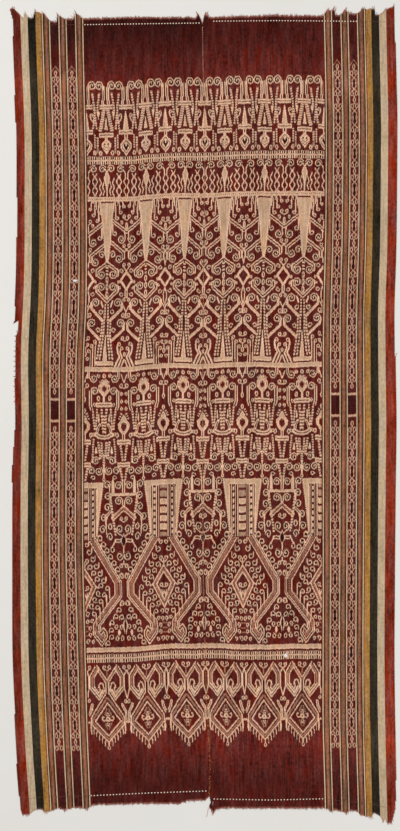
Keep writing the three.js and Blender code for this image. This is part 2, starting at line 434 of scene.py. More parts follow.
def between_figures(axis, lines_out):
    """Rows 367 to 480 on the axes between the large figures."""
    for place in (lines_out, lines_out + 1.8):
        line(axis, [(place, 367), (place, 374)], 1.0)
    line(axis, [(2.6, 371), (0, 378.4)], 1.0)
    curl(axis, 9.3, 374.5, 4.1, 180, -1, 1.1)
    heart(axis, 381.8, 2.3, True, 1.0)
    curl(axis, 10.3, 387.3, 4.1, 180, 1, 1.1)
    for place in (4.9, 7.1):
        line(axis, [(place, 387), (place, 401), (place + 1.4, 406)], 0.95)
    line(axis, [(0, 411.5), (2.3, 415.5)], 1.0)
    beads(axis, (4.7, 415.5), (1.8, 408.5), 1.8, 2.2, 0.5)
    solid(axis, [(0, 413.5), (3.4, 417), (6, 420.5), (5.4, 425), (1.6, 430.5), (0, 430.5)])
    solid(axis, [(0, 418), (2.6, 420.2), (2.9, 424.3), (0, 427.6)], TONE["pin red"])
    solid(axis, [(0, 419.6), (1.6, 421.2), (1.8, 424), (0, 426)], GROUND)
    spot(axis, 1.0, 421.2, 0.5, 1.0, DEEP)
    line(axis, [(1.0, 430), (1.0, 436)], 1.0)
    ring(axis, 6.7, 431.4, 1.7, 2.5, 0.95)
    bar(axis, 6.7, 438.4, 4.8)
    beads(axis, (3.1, 441.5), (0.9, 458), 2.0, 2.6)
    bar(axis, 6.2, 461, 4.6)
    beads(axis, (3.2, 464.5), (1.0, 478), 2.0, 2.6)


def standing_figures():
    """Rows 367 to 480: large standing figures with spirals and beaded arms."""
    between_figures(FRAMES, 3.0)
    between_figures(STARS, 4.4)
    for row in (390, 397.8, 405):
        curl(STARS, 1.9, row, 1.9, 90, -1)
    ring(FRAMES, 0, 395.5, 1.5, 2.6, 1.0, ONE)
    stem(FRAMES, 385, 393, 1.1)
    ring(FRAMES, 0, 407, 1.5, 2.4, 1.0, ONE)
    ring(FIGURES, 0, 372.2, 1.7, 2.0, 1.0, ONE)
    curl(FIGURES, 5.4, 371.8, 2.0, 300, 1)
    for place in (1.6, 3.2, 4.8):
        line(FIGURES, [(place * 0.8, 379), (place, 374.6 + place * 0.7)], 0.8)
    solid(FIGURES, [(0, 376), (5.6, 381.6), (5.6, 387), (1, 392.6), (0, 392.6)])
    solid(FIGURES, [(0, 380.6), (2.7, 383), (2.7, 386.4), (0, 389)], BLUSH)
    solid(FIGURES, [(0, 381.6), (1.9, 383.8), (1.9, 385.8), (0, 388)], TONE["pin red"])
    spot(FIGURES, 0.8, 384.6, 0.5, 0.9, DEEP)
    line(FIGURES, [(4.3, 383), (4.3, 386)], 0.7, GROUND)
    stem(FIGURES, 391, 399, 2.0)
    ring(FIGURES, 5.7, 394.4, 1.6, 2.7)
    bar(FIGURES, 7.6, 400.9, 4.6)
    curl(FIGURES, 9.8, 400.6, 2.0, 90, 1)
    beads(FIGURES, (2.5, 405), (0.9, 430.5), 2.0, 3.1, 0.6)
    beads(FIGURES, (0, 412), (0, 430.5), 2.2, 3.1, 0.5, sides=ONE)
    beads(FIGURES, (6.8, 405), (8.5, 427), 1.7, 2.7)
    beads(FIGURES, (11.3, 407), (9.3, 427), 1.8, 2.7)
    drop(FIGURES, 5.2, 414.5, 0.9, 4.5)
    line(FIGURES, [(4.2, 420.6), (6.1, 424.2), (7.0, 428.4)], 2.5)
    line(FIGURES, [(4.6, 421.8), (6.1, 424.8), (6.7, 427.8)], 0.9, DEEP)
    line(FIGURES, [(0, 433.6), (4.4, 433), (8.2, 430.6)], 4.2)
    line(FIGURES, [(0, 433.6), (4.4, 433), (7.7, 430.9)], 1.1, GROUND)
    curl(FIGURES, 10.8, 430.4, 1.9, 180, -1, 1.2)
    for top, foot in (((5.8, 438), (3.3, 456)), ((2.6, 438.5), (1.5, 454))):
        beads(FIGURES, top, foot, 2.1, 2.7)
    beads(FIGURES, (0, 451), (0, 463), 2.3, 2.5, 0.6, sides=ONE)
    stem(FIGURES, 462, 474, 1.4)
    curl(FIGURES, 8.1, 457, 4.2, 200, 1, 1.1)
    curl(FIGURES, 5.0, 467.2, 4.4, 230, -1, 1.1)
    curl(FIGURES, 12.6, 467, 4.1, 0, -1, 1.1)
    curl(FIGURES, 10.6, 474.2, 2.6, 0, -1, 1.1)
    ring(FIGURES, 0, 476, 1.5, 2.2, 1.0, ONE)
    drop(FIGURES, 7.9, 447)
    beads(FIGURES, (10.2, 435), (11.2, 447), 1.7, 2.6)
    beads(FIGURES, (11.2, 447), (11.8, 460), 1.7, 2.6)


def ladder_frames():
    """Rows 476 to 536: wide toothed frames with a ladder of blocks, hooks beside them."""
    tapered(FRAMES, [(20.2, 479), (16.9, 503), (13.9, 533)], 2.3, 1.1)
    solid(FRAMES, [(0, 484.3), (12.4, 484.3), (11.8, 534), (0, 534)], GROUND)
    line(FRAMES, [(11.0, 484.5), (10.6, 536)], 0.75)
    block(FRAMES, 485, 536, 7.5, 10.0, DEEP)
    beads(FRAMES, (8.85, 486.5), (8.85, 536), 1.6, 6.4, 0.62)
    for place in (4.6, 6.8):
        line(FRAMES, [(place, 484.5), (place, 536)], 0.8)
    for number, row in enumerate((484.4, 490.4, *np.arange(498.2, 536, 8.4))):
        deep = min(row + 5.8, 536) if number else 487.8
        tone = FADED if number < 2 or row > 530 else CREAM
        block(FRAMES, row, deep, 0, 3.5, tone)
        line(FRAMES, [(0, deep + 1.2), (3.5, deep + 0.9)], 0.9, DEEP if number % 2 else GROUND)
    for place, row, radius, tall in (
        (23.1, 481.5, 3.6, 1.3), (23.8, 493, 3.8, 1.25), (23.4, 504, 3.6, 1.35), (19.8, 514.6, 3.6, 1.3),
        (18.7, 526, 3.8, 1.3), (15.4, 534, 2.7, 1.2),
    ):
        curl(FRAMES, place, row, radius, 0, -1, tall)
    for first, last in (((26, 481), (25.4, 488)), ((26.6, 493), (26, 500)), ((22.6, 515), (21.8, 521))):
        line(FRAMES, [first, last], 1.0)
    for place in (STARS + 10.8, STARS - 10.8):
        tapered(place, [(0.3, 474.5), (1.5, 479), (1.5, 490)], 2, 0.3)
    line(STARS, [(0, 490.8), (13, 490.8)], 2.6)
    curl(STARS, 5.2, 481.8, 4.2, 180, 1, 1.1)
    line(STARS, [(1.0, 476), (1.0, 489)], 1.0)
    curl(STARS, 5, 497.5, 4.3, 180, 1, 1.1)
    line(STARS, [(0.9, 497), (0.9, 501), (0, 503)], 1.1)
    double(STARS, [(0, 504.6), (10.4, 514.4)], 4.3, 1.1)
    line(STARS, [(0, 504.6), (10.4, 514.4)], 0.7, BLUSH)
    beads(FRAMES, (26.4, 493), (31.6, 533), 1.9, 2.8)
    double(FRAMES, [(26.6, 508), (21.5, 513.5)], 2.8, 0.95)
    line(FRAMES, [(21.7, 515), (22.4, 531)], 1.1)
    ring(FRAMES, 26.2, 523.3, 2.2, 3.2)
    heart(STARS, 515.2, 2.0, True)
    curl(STARS, 3.9, 526.0, 3.8, 70, -1, 1.4)
    line(STARS, [(0, 533.4), (4.2, 530.6)], 1.0)
    solid(STARS, [(0, 529.8), (1.4, 534), (4.0, 537.3), (1.4, 540.6), (0, 545.4)])
    solid(STARS, [(0, 531.6), (2.6, 537.3), (0, 543.2)], DEEP)
    double(STARS, [(3.6, 537.3), (7.6, 537.3)], 3.6, 1.1)
    line(STARS, [(8.4, 537.3), (10.2, 541), (12, 544)], 1.3)
    curl(FRAMES, 25.9, 533.8, 3.4, 180, 1, 1.4)
    curl(FRAMES, 28.8, 546.4, 2.7, 270, -1, 1.25)


def great_diamonds():
    """Rows 536 to 642: braided beams that cross in large diamonds, with hooks along both their sides."""
    path = np.array([(8.4, 536), (33.6, 579.5), (33.6, 592), (11.2, 621), (10.6, 628)])
    solid(FRAMES, [*beside(path, -3.9), *beside(path, 3.9)[::-1]], GROUND)
    for shift in (-3.3, -1.6, 3.3):
        line(FRAMES, beside(path, shift), 0.95)
    line(FRAMES, beside(path, 0.9), 2.3, BLUSH)
    braid = beside(path, 0.9)
    for low, high in zip(braid[:-1], braid[1:]):
        beads(FRAMES, low, high, 0.9, 2.3, 0.42, GROUND)
    line(FRAMES, [(7.2, 628), (7.4, 631.5), (15.8, 642.6), (21, 634), (21, 629.4), (17.7, 624.2),
                  (13, 628.6)], 1.0)
    line(FRAMES, [(9.0, 628), (9.2, 630.6), (15.8, 638.9), (19.2, 633), (17.6, 627.8), (15.6, 630.6)], 0.9)
    line(FRAMES, [(11.2, 628), (11.4, 630.2), (15.8, 635.6), (17.4, 632.2)], 1.3, BLUSH)
    line(FRAMES, [(13.6, 627.6), (13.2, 629.2), (15.8, 632.4)], 0.9)
    curl(FRAMES, 2.5, 541.0, 2.3, 0, 1, 1.2, tail=3)
    for number in range(5):
        curl(FRAMES, 5.0 + 3.45 * number, 548.2 + 7.2 * number, 2.9, 0, 1, 1.2, tail=3.4)
    for share in np.linspace(0, 1, 7):
        curl(FRAMES, 16.0 + 21.0 * share, 535.2 + 37.6 * share, 3.0, 180, 1, 1.2, tail=2.6)
    line(FRAMES, [(0, 567.2), (9.7, 583), (0, 603.6)], 3.4, BLUSH)
    beads(FRAMES, (0, 567.2), (9.7, 583), 1.0, 2.3, 0.5, GROUND)
    beads(FRAMES, (9.7, 583), (0, 603.6), 1.0, 2.3, 0.5, GROUND)
    for apex, corner, tip in ((564.8, 11.2, 607.3), (571.3, 7.2, 599.5)):
        line(FRAMES, [(0, apex), (corner, 583), (0, tip)], 1.15)
    line(FRAMES, [(0, 590.5), (1.1, 594.5), (2.4, 589.5), (1.6, 595.5), (0, 600)], 0.8)
    heart(FRAMES, 584.4, 2.1, True, 1.1)
    line(FRAMES, [(11.2, 583), (13.6, 584.5)], 1.2)
    for place, row in (
        (5.8, 564), (9.4, 569.8), (12.8, 576), (16.3, 582.4), (13.4, 589.8), (9.8, 596), (6.2, 602.4),
    ):
        curl(FRAMES, place, row, 2.8, 180 if row < 584 else 90, 1, 1.2, tail=2.2)
    heart(FRAMES, 557.5, 2.3, True, 2.2)
    stem(FRAMES, 558, 564.5)
    for place, row in ((22.4, 585.6), (19.0, 592), (15.5, 598.3), (12.1, 604.4), (8.5, 610.8)):
        curl(FRAMES, place, row, 2.7, 0, -1, 1.2)
        line(FRAMES, [(place + 2.2, row), (place + 2.5, row + 11)], 0.95)
    curl(FRAMES, 6.2, 617.6, 2.1, 0, -1, 1.2)
    for place, row in (
        (37.3, 600.3), (34.1, 607), (30.6, 613.6), (26.6, 620), (25.7, 627.5), (25.7, 634.5), (36.2, 614.4),
        (22, 640.5),
    ):
        curl(FRAMES, place, row, 2.8, 180, 1, 1.2, tail=2.2)
    for place in (31, 36.2):
        curl(FRAMES, place, 623.4, 2.4, 90, 1, 1.25)
        curl(FRAMES, place, 635.4, 2.4, 270, 1, 1.25)
    spot(FRAMES, 33.4, 629.3, 1.3, 3.2)
    line(STARS, [(0, 615.5), (1.6, 620), (1.6, 625), (0, 631)], 1.0)
    stem(STARS, 612, 640, 1.0, DEEP)
    stem(STARS, 545, 549.5)
    curl(STARS, 3.9, 552.6, 3.8, 200, -1, 1.4)
    stem(STARS, 557.5, 561)
    heart(STARS, 562.8, 2.2, False, 0.9)
    curl(STARS, 2.5, 572.8, 2.4, 90, 1, 1.25)
    curl(STARS, 2.4, 600.6, 2.4, 270, 1, 1.2)
    for row, place, radius in ((610.4, 2.6, 2.5), (618, 2.3, 2.2), (624.4, 4.6, 2.2), (631, 4.6, 2.2),
                               (637.6, 2.4, 2.4), (638, 7.3, 2.0)):
        curl(FRAMES, place, row, radius, 90, 1, 1.2)
    for row in (622.8, 627.6, 632):
        line(FRAMES, [(-2, row), (2, row)], 1.0, BLUSH, ONE)
    rule(646.5, 4.4)


def lozenges():
    """Rows 650 to 749: a second comb, hooked bands and large lozenges fringed with ticks."""
    comb(654.7, 651.2, 659)
    band = [(9.8, 664.3), (15.2, 673.5), (15.2, 684), (8.3, 692.8), (4.9, 687), (5.9, 682.5)]
    line(FIGURES, band[:4], 2.2, BLUSH)
    line(FIGURES, band[2:5], 2.4, CREAM)
    line(FIGURES, beside(band[:4], -1.0), 0.8, DEEP)
    line(FIGURES, beside(band[2:5], 1.2), 0.7, DEEP)
    for shift in (-2.1, 2.1):
        line(FIGURES, beside(band, shift), 1.1)
    line(FIGURES, [(3.6, 683.5), (4.4, 680.2), (6.4, 679.3), (8.1, 681.5), (8.6, 684)], 1.0)
    line(FIGURES, [(9.9, 662), (5, 669.5), (0, 677)], 1.1)
    line(FIGURES, [(9.3, 667), (4.6, 674), (1.5, 679.5), (1.5, 690)], 1.1)
    line(FIGURES, [(7.2, 669), (2, 676.5), (0, 680)], 1.2, BLUSH)
    stem(FIGURES, 680, 690, 0.9, DEEP)
    heart(FIGURES, 664, 2.2)
    stem(FIGURES, 667, 673, 1.2, BLUSH)
    outer = [(1.5, 690), (16.4, 713.6), (16.5, 720.6), (0, 738.8)]
    inner = [(0, 699.6), (12.9, 717.8), (0, 732.6)]
    line(FIGURES, [(0.4, 694.8), (14.7, 715.5), (14.8, 719.6), (0, 736)], 1.5, BLUSH)
    line(FIGURES, [(0, 697.5), (13.8, 717), (0, 734)], 0.8, DEEP)
    line(FIGURES, outer, 1.15)
    line(FIGURES, inner, 1.25)
    spot(FIGURES, 0, 716, 2.4, 2.6, sides=ONE)
    spot(FIGURES, 0, 716, 0.8, 0.9, GROUND, ONE)
    line(FIGURES, [(1.6, 716.6), (4.4, 717.6), (5.8, 715.6), (5.3, 713.2), (4.1, 713.8)], 1.1)
    for first, last, tone in (((3.2, 711.8), (0.4, 704.8), FADED), ((1.2, 713), (0, 708.6), CREAM),
                              ((3.0, 720.2), (0.5, 726.8), FADED), ((1.1, 719.6), (0, 724), CREAM)):
        beads(FIGURES, first, last, 1.4, 2.0, 0.6, tone)
    for place in np.arange(3.3, 17.6, 2.75):
        row = 739.4 - place * 1.08
        line(FIGURES, [(place - 0.6, row), (place + 0.5, row + 3), (place + 0.4, row + 6.5)], 0.85)
    stem(FIGURES, 738.8, 742)
    ring(FIGURES, 0, 744.4, 1.5, 2.1, 0.8, ONE)
    for axis, wide in ((FRAMES, 1.6), (STARS, 2.9)):
        heart(axis, 664, 2.1)
        line(axis, [(0, 667.5), (wide, 673), (wide, 684), (0, 692 + wide)], 1.1)
        ring(axis, 1.5, 695.4 + wide, 1.55, 2.0, 0.85)
    for axis, reach, foot in ((FRAMES, 4.6, 710), (STARS, 5.2, 708)):
        line(axis, [(0.9, foot), (reach - 2, foot - 4), (reach - 0.9, 700.5), (reach + 0.6, 700.5),
                    (reach, foot - 4.5), (1.6, foot + 2)], 1.0)
    for place in (0.9, 2.4):
        line(STARS, [(place, 708), (place * 0.8, 718)], 0.9)
    for axis in (FRAMES, STARS):
        line(axis, [(0, 719), (2.6, 719), (3, 724), (3.2, 730)], 1.3)
        spot(axis, 0, 718.6, 2.4, 1.0, sides=ONE)


for part_of_design in (
    far_spirals, small_figures, spindles, pillars, ladders, standing_figures, ladder_frames,
    great_diamonds, lozenges,
):
    part_of_design()


def seen(marked, steps, axis, way):
    """Whether a marked place lies within so many steps to one side."""
    found = np.zeros_like(marked)
    for step in range(1, steps + 1):
        found |= np.roll(marked, way * step, axis)
    return found


def dyed(tied):
    """The chart after dyeing: darker in narrow gaps, duller inside broad tied places."""
    margin = 12
    wide = np.pad(tied, margin, mode="symmetric")
    cream = wide == CREAM
    across = seen(cream, 5, 0, 1) & seen(cream, 5, 0, -1)
    along = seen(cream, 10, 1, 1) & seen(cream, 10, 1, -1)
    wide[(wide == GROUND) & (across | along)] = TONE["shade"]
    edge = seen(~cream, 5, 0, 1) | seen(~cream, 5, 0, -1) | seen(~cream, 9, 1, 1) | seen(~cream, 9, 1, -1)
    wide[cream & ~edge] = TONE["tan"]
    return wide[margin:-margin, margin:-margin]


field_chart = dyed(chart)

# The two narrow ikat strips in each border: a dotted ring between two pairs of rings, then a long
# dark lozenge, over and over, with a plain block midway.
STRIP_HALF = 4.1
STRIP_RINGS = (
    73, 106, 142, 177, 214, 249, 287, 327, 361, 391.5, 428.5, 458, 494, 530, 565, 601, 637, 673, 708, 742,
)
STRIP_COLUMNS = 16
PLAIN_BLOCK = (399.4, 421.0)
chart = blank_chart(STRIP_HALF)
turning = [0.0, 2 * STRIP_HALF]
for row, next_row in zip(STRIP_RINGS, (*STRIP_RINGS[1:], 757)):
    for way in (-1, 1):
        if PLAIN_BLOCK[0] < row + 8 * way < PLAIN_BLOCK[1] or not 66 < row + 7 * way < 750:
            continue
        ring(0, 2.3, row + 6.2 * way, 1.65, 2.4, 0.8)
        spot(0, 2.3, row + 6.2 * way, 0.6, 1.0, DEEP)
        line(0, [(0, row + 2.6 * way), (1.2, row + 4.4 * way)], 0.8)
    ring(0, 0, row, 1.6, 2.6, 0.8)
    spot(0, 0, row, 0.5, 1.1, DEEP)
    if row < PLAIN_BLOCK[0] < next_row or row == STRIP_RINGS[-1]:
        continue
    first, middle, last = row + 9, (row + next_row) / 2, next_row - 9
    solid(0, [(0, first + 3), (1.2, first + 5), (0.9, middle), (1.2, last - 5), (0, last - 3)], DEEP)
    line(0, [(2.6, first - 1), (0.4, first + 1.8), (2.0, first + 4.4), (1.6, middle), (2.0, last - 4.4),
             (0.4, last - 1.8), (2.6, last + 1)], 0.8)
    line(0, [(3.9, first), (3.3, first + 4), (3.2, middle), (3.3, last - 4), (3.9, last)], 0.7, BLUSH)
line(0, [(0, 66), (3.9, 72)], 0.8, BLUSH)
for edge in PLAIN_BLOCK:
    block(0, edge - 1.1, edge + 1.1, 0, 3.9, CREAM, ONE)
block(0, PLAIN_BLOCK[0] + 1.1, PLAIN_BLOCK[1] - 1.1, 0, 5, TONE["shade"], ONE)
strip_chart = dyed(chart)

# Widths in millimetres of the stripes, from the selvedge inwards.
PINS = [("pin cream", 2.8), ("pin black", 3.0), ("pin brown", 2.8), ("pin rose", 1.4), ("pin pale", 1.7),
        ("pin rose", 1.4), ("pin brown", 2.8), ("pin black", 3.0), ("pin cream", 2.8)]
STRIPES = [
    *[("red", 2.45)] * 9,
    *[("white", 2.4)] * 8,
    *[("black", 2.6)] * 8,
    *[("ochre", 2.4)] * 6,
    ("pin red", 2.2),
    *PINS,
    *[("ikat strip", 1.4)] * STRIP_COLUMNS,
    *PINS,
    *[("ikat strip", 1.4)] * STRIP_COLUMNS,
    *PINS,
]
SPARE_COLUMNS = 4  # warp beyond the even line of the selvedge, where it wanders out
PLAIN_FIELD = 1.2  # bundles of plain ground before the design starts
FIELD_BUNDLES = 3 * HALF_REPEAT
FIELD_PITCH = 0.5  # bundles to one warp column of the field
FIRST_ROW, LAST_ROW = 4.0, 826.0  # rows that reach past both cut ends
LONGEST_FACE = 0.032  # metres
MOST_COLUMNS = 400  # slips drawn for each panel, more than it has columns

# A panel's two halves lie side by side in its baked picture: the side of that square, and where each
# half starts in it, in metres.
BAKED_SQUARE = 1.118
BAKED_FAR_HALF = (0.004, 0.002)
BAKED_NEAR_HALF = (0.55, 1.112)

# A selvedge is a list of (along, across) and a cut end one of (across, reach), in millimetres.
LEFT_SELVEDGE = [
    (1066, -515), (958, -513.5), (769, -506.5), (553, -503.5), (391, -505.5), (296, -509), (256, -509.5),
    (245, -514.5), (254, -500), (223, -502), (213, -506.5), (148, -509), (-41, -509.5), (-149, -517),
    (-608, -517), (-743, -512), (-878, -507.5), (-986, -502.5),
]
RIGHT_SELVEDGE = [
    (-1067, 517), (-1027, 520), (-824, 518.5), (-608, 515), (-446, 515.5), (-230, 518.5), (-41, 520.5),
    (256, 516), (418, 519), (580, 523), (796, 523), (985, 519), (1039, 515.5),
]
SEAM = [
    (1055, -3), (930, -1), (822, 3), (688, 4), (390, 0), (120, -2), (-150, -2.5), (-420, -1), (-635, 4),
    (-770, 7.5), (-880, 14), (-960, 17.5), (-1030, 15.5),
]
LEFT_FAR_END = [
    (-523, 1095), (-512, 1097), (-486, 1069), (-483, 1086), (-473, 1072), (-459, 1072), (-457, 1089),
    (-432, 1084), (-415, 1063), (-397, 1060), (-394, 1079), (-372, 1068), (-349, 1070), (-346, 1085),
    (-325, 1069), (-220, 1073), (-37, 1073), (-22, 1070), (-13.5, 1082), (-8, 1070),
]
RIGHT_FAR_END = [
    (2, 1079), (10, 1079), (14, 1073), (200, 1079), (324, 1077), (332, 1090), (352, 1094), (356, 1079),
    (372, 1081), (381, 1094), (394, 1083), (414, 1083), (429, 1096), (461, 1096), (464, 1079), (475, 1080),
    (491, 1093), (515, 1104),
]
LEFT_NEAR_END = [
    (-494, -1062), (-490, -1079), (-475, -1080), (-466, -1075), (-452, -1066), (-433, -1066), (-429, -1074),
    (-409, -1069), (-396, -1063), (-374, -1067), (-340, -1060), (-315, -1065), (-300, -1054), (-145, -1050),
    (-64, -1051), (-38, -1042), (4, -1041),
]
RIGHT_NEAR_END = [
    (19.5, -1047), (13, -1060), (27, -1075), (31, -1067), (50, -1062), (328, -1063), (345, -1072),
    (352, -1066), (387, -1076), (392, -1069), (411, -1069), (425, -1082), (454, -1088), (457, -1076),
    (470, -1079), (486, -1097), (491, -1089), (496, -1104), (508, -1102),
]
SEAM_GAP = 0.3
FRAY_PITCH = 6.0
FRAY_DEPTH = 3.0
QUIET_END_SLOPE = 1.2  # a steeper stretch of a cut end is a torn step, and gets no notches

# Even lines that the stripes follow: (along, across) in millimetres.
LEFT_BORDER = [
    (1080, -518), (909, -511), (806, -506), (704, -504.7), (396, -506), (293, -510), (191, -516),
    (88, -515.5), (-14, -512.5), (-219, -516.5), (-630, -516.5), (-732, -513), (-835, -507), (-938, -501.5),
    (-1090, -489),
]
RIGHT_BORDER = [
    (1080, 515), (909, 518.5), (806, 521.3), (601, 520), (499, 519), (396, 517), (293, 512.5), (88, 514.4),
    (-14, 516.5), (-117, 515), (-322, 512.7), (-630, 510.4), (-732, 511), (-938, 514.6), (-1090, 519),
]
LEFT_FIELD_EDGE = [
    (1080, -325.5), (917, -322.5), (688, -317.5), (499, -315), (293, -316), (202, -321.5), (148, -324),
    (40, -325), (-176, -325.5), (-392, -325.5), (-608, -319.5), (-824, -314.5), (-1080, -304),
]
RIGHT_FIELD_EDGE = [
    (1080, 324.5), (917, 328.5), (769, 330.5), (499, 329), (242, 322.5), (40, 322), (-392, 322),
    (-824, 321), (-1080, 328.5),
]

# The tied bundles slipped a little on the loom, in rows towards the near end. A slip is (bundles in from
# the border, rows at the first, the second and the third of SLIP_ROWS).
SLIP_ROWS = (150, 365, 646)
STRIP_SLIP_ROWS = (60, 410, 750)
LEFT_SLIPS = [(0, 4.0, 3.7, 3.8), (30, 4.0, 4.2, 3.2), (46, 3.7, 4.0, 2.8), (60, 1.7, 1.9, 1.7),
              (75, 0.8, 0.5, 0.1), (90, 0.1, -0.2, -0.7), (105, 0.0, 0.4, -0.3), (119, 0.2, 1.3, -1.0)]
RIGHT_SLIPS = [(0, -1.8, -1.4, -0.4), (14, -2.2, -1.2, -0.2), (28, -2.5, -0.1, -0.4), (44, -2.3, -0.3, 0.2),
               (58, -2.1, -1.1, 0.4), (72, -1.9, -1.0, 0.5), (90, -1.3, -0.8, 0.2), (104, -0.6, -0.1, -0.9),
               (119, 0.0, 1.0, -1.0)]
BUNDLE_SLIP = 0.22
YARN_SLIP = 0.12

# Holes worn through the cloth: across, along, width and length in millimetres.
LEFT_HOLES = [(-347, 362, 12, 7)]
RIGHT_HOLES = [(222, -650, 9.5, 12), (385.5, -652, 3, 4), (25.5, -1049, 1.7, 15)]


def fray_amount(index):
    """A share from 0 to 1 that is the same on each run, and leaps about from one bundle to the next."""
    wave = math.sin(index * 12.9898) * 43758.5453
    return wave - math.floor(wave)


def frayed_end(stations, inwards):
    """The cut end with one short notch to each bundle of warp."""
    points = []
    for (from_across, from_reach), (to_across, to_reach) in zip(stations, [*stations[1:], stations[-1]]):
        points.append((from_across, from_reach))
        run, rise = to_across - from_across, to_reach - from_reach
        bundles = math.floor(abs(run) / FRAY_PITCH)
        if bundles < 2 or abs(rise / run) > QUIET_END_SLOPE:
            continue
        for bundle in range(1, bundles):
            notch = FRAY_DEPTH * fray_amount(round(from_across) + bundle) * (bundle % 2)
            share = bundle / bundles
            points.append((from_across + run * share, from_reach + rise * share + inwards * notch))
    return points


def warp_edge(stations, sideways=0.0):
    """The corners of an edge that runs along the warp, moved sideways by so much."""
    return [(across + sideways, along) for along, across in stations]


LEFT_OUTLINE = [
    *warp_edge(LEFT_SELVEDGE), *frayed_end(LEFT_NEAR_END, 1), *warp_edge(SEAM[::-1], -SEAM_GAP / 2),
    *frayed_end(LEFT_FAR_END[::-1], -1),
]
RIGHT_OUTLINE = [
    *warp_edge(SEAM, SEAM_GAP / 2), *frayed_end(RIGHT_NEAR_END, 1), *warp_edge(RIGHT_SELVEDGE),
    *frayed_end(RIGHT_FAR_END[::-1], -1),
]


def follow(stations, along):
    """How far across an edge is, in metres, at each place along the warp, with its corners rounded."""
    table = np.array(sorted(stations), float) / 1000
    near = [np.interp(along + shift, table[:, 0], table[:, 1]) for shift in np.linspace(-0.05, 0.05, 9)]
    return np.mean(near, axis=0)


def seam_at(along):
    return np.interp(along, *(np.array(sorted(SEAM)).T / 1000))


CLOTH_HEIGHT = 0.0011
COCKLE = 0.00022
RIPPLE = 0.00012


def lie(across, along):
    """Height of the cloth over the floor: it lies flat, with the slight cockle of handwoven cotton."""
    cockle = np.sin(across * 31 + 1.3 * np.sin(along * 9)) * np.sin(along * 23 + across * 7)
    ripple = np.sin(across * 74 + along * 41) * np.sin(along * 57 - across * 13)
    return CLOTH_HEIGHT + COCKLE * cockle + RIPPLE * ripple


def column_sides():
    """The two sides of every warp column: 0 to 1 over the striped border, 1 to 2 over the field."""
    spare = STRIPES[0][1]
    widths = [spare] * SPARE_COLUMNS + [width for _, width in STRIPES]
    stripes = (np.cumsum([0, *widths]) - spare * SPARE_COLUMNS) / sum(width for _, width in STRIPES)
    whole = PLAIN_FIELD + FIELD_BUNDLES
    bundles = np.arange(PLAIN_FIELD, whole + FIELD_PITCH / 2, FIELD_PITCH)[:-1]
    return np.concatenate([stripes, 1 + np.array([PLAIN_FIELD / 2, *bundles]) / whole, [2.0]])


SIDES = column_sides()
MIDDLES = (SIDES[:-1] + SIDES[1:]) / 2
EDGES = np.arange(FIRST_ROW, LAST_ROW + FINE_ALONG / 2, FINE_ALONG)
ROWS = EDGES[:-1] + FINE_ALONG / 2
ALONG = (MIDDLE_ROW - ROWS) * BUNDLE


def across_at(border, field_edge, side, along):
    """How far across a column's side lies, in metres, at each place along the warp."""
    outer, inner = follow(border, along), follow(field_edge, along)
    return np.where(side < 1, outer + side * (inner - outer), inner + (side - 1) * (seam_at(along) - inner))


def read_chart(source, across, shift):
    """One column of a chart as it lies on the loom, where its rows have slipped by so much."""
    charted = np.floor((ROWS - shift - CHART_ROWS[0]) / FINE_ALONG).astype(int)
    column = source[min(int(across / FINE_ACROSS), source.shape[0] - 1)]
    known = (charted >= 0) & (charted < column.size)
    return np.where(known, column[np.clip(charted, 0, column.size - 1)], GROUND)


def dyed_warp(slips, strip_slip, chance):
    """The yarn of each short stretch of each column, from the stripes and the two charts."""
    warp = np.full((MIDDLES.size, ROWS.size), GROUND, np.int8)
    names = ["red"] * SPARE_COLUMNS + [name for name, _ in STRIPES]
    bundle_slip = chance.normal(0, BUNDLE_SLIP, MOST_COLUMNS)
    strips_met = 0
    for column, middle in enumerate(MIDDLES):
        if middle < 1 and names[column] != "ikat strip":
            warp[column] = TONE[names[column]]
        elif middle < 1:
            across = abs((strips_met % STRIP_COLUMNS + 0.5) / STRIP_COLUMNS - 0.5) * 2 * STRIP_HALF
            strips_met += 1
            shift = bundle_slip[column] + np.interp(ROWS, STRIP_SLIP_ROWS, strip_slip)
            strip = read_chart(strip_chart, across, shift)
            strip[strip == GROUND] = TONE["strip"]
            strip[(strip == CREAM) | (strip == TONE["tan"])] = TONE["strip cream"]
            warp[column] = strip
        else:
            bundles = (middle - 1) * (PLAIN_FIELD + FIELD_BUNDLES) - PLAIN_FIELD
            folded = abs((bundles + HALF_REPEAT) % (2 * HALF_REPEAT) - HALF_REPEAT)
            slip_of = np.array(slips).T
            shift = np.interp(ROWS, SLIP_ROWS, [np.interp(bundles, slip_of[0], each) for each in slip_of[1:]])
            shift += bundle_slip[int(bundles + 2)] + chance.uniform(-YARN_SLIP, YARN_SLIP)
            if bundles >= 0:
                warp[column] = read_chart(field_chart, folded, shift)
    return warp


def cut_to_shape(warp, positions, outline, holes):
    """Takes away what lies outside the outline or in a worn hole."""
    within = np.zeros(warp.shape, bool)
    corners = np.array(outline, float) / 1000
    for (x0, y0), (x1, y1) in zip(corners, np.roll(corners, -1, 0)):
        crossed = (ALONG >= min(y0, y1)) & (ALONG < max(y0, y1))
        if y0 != y1 and crossed.any():
            edge_at = x0 + (ALONG[crossed] - y0) * (x1 - x0) / (y1 - y0)
            within[:, crossed] ^= positions[:, crossed] < edge_at
    ragged = 1 + 0.25 * np.sin(np.arange(len(warp)) * 2.3)[:, None]
    for across, along, width, length in holes:
        reach = ((positions - across / 1000) / (width / 2000)) ** 2
        reach += ((ALONG[None, :] - along / 1000) / (length / 2000 * ragged)) ** 2
        within &= reach > 1
    warp[~within] = NO_YARN


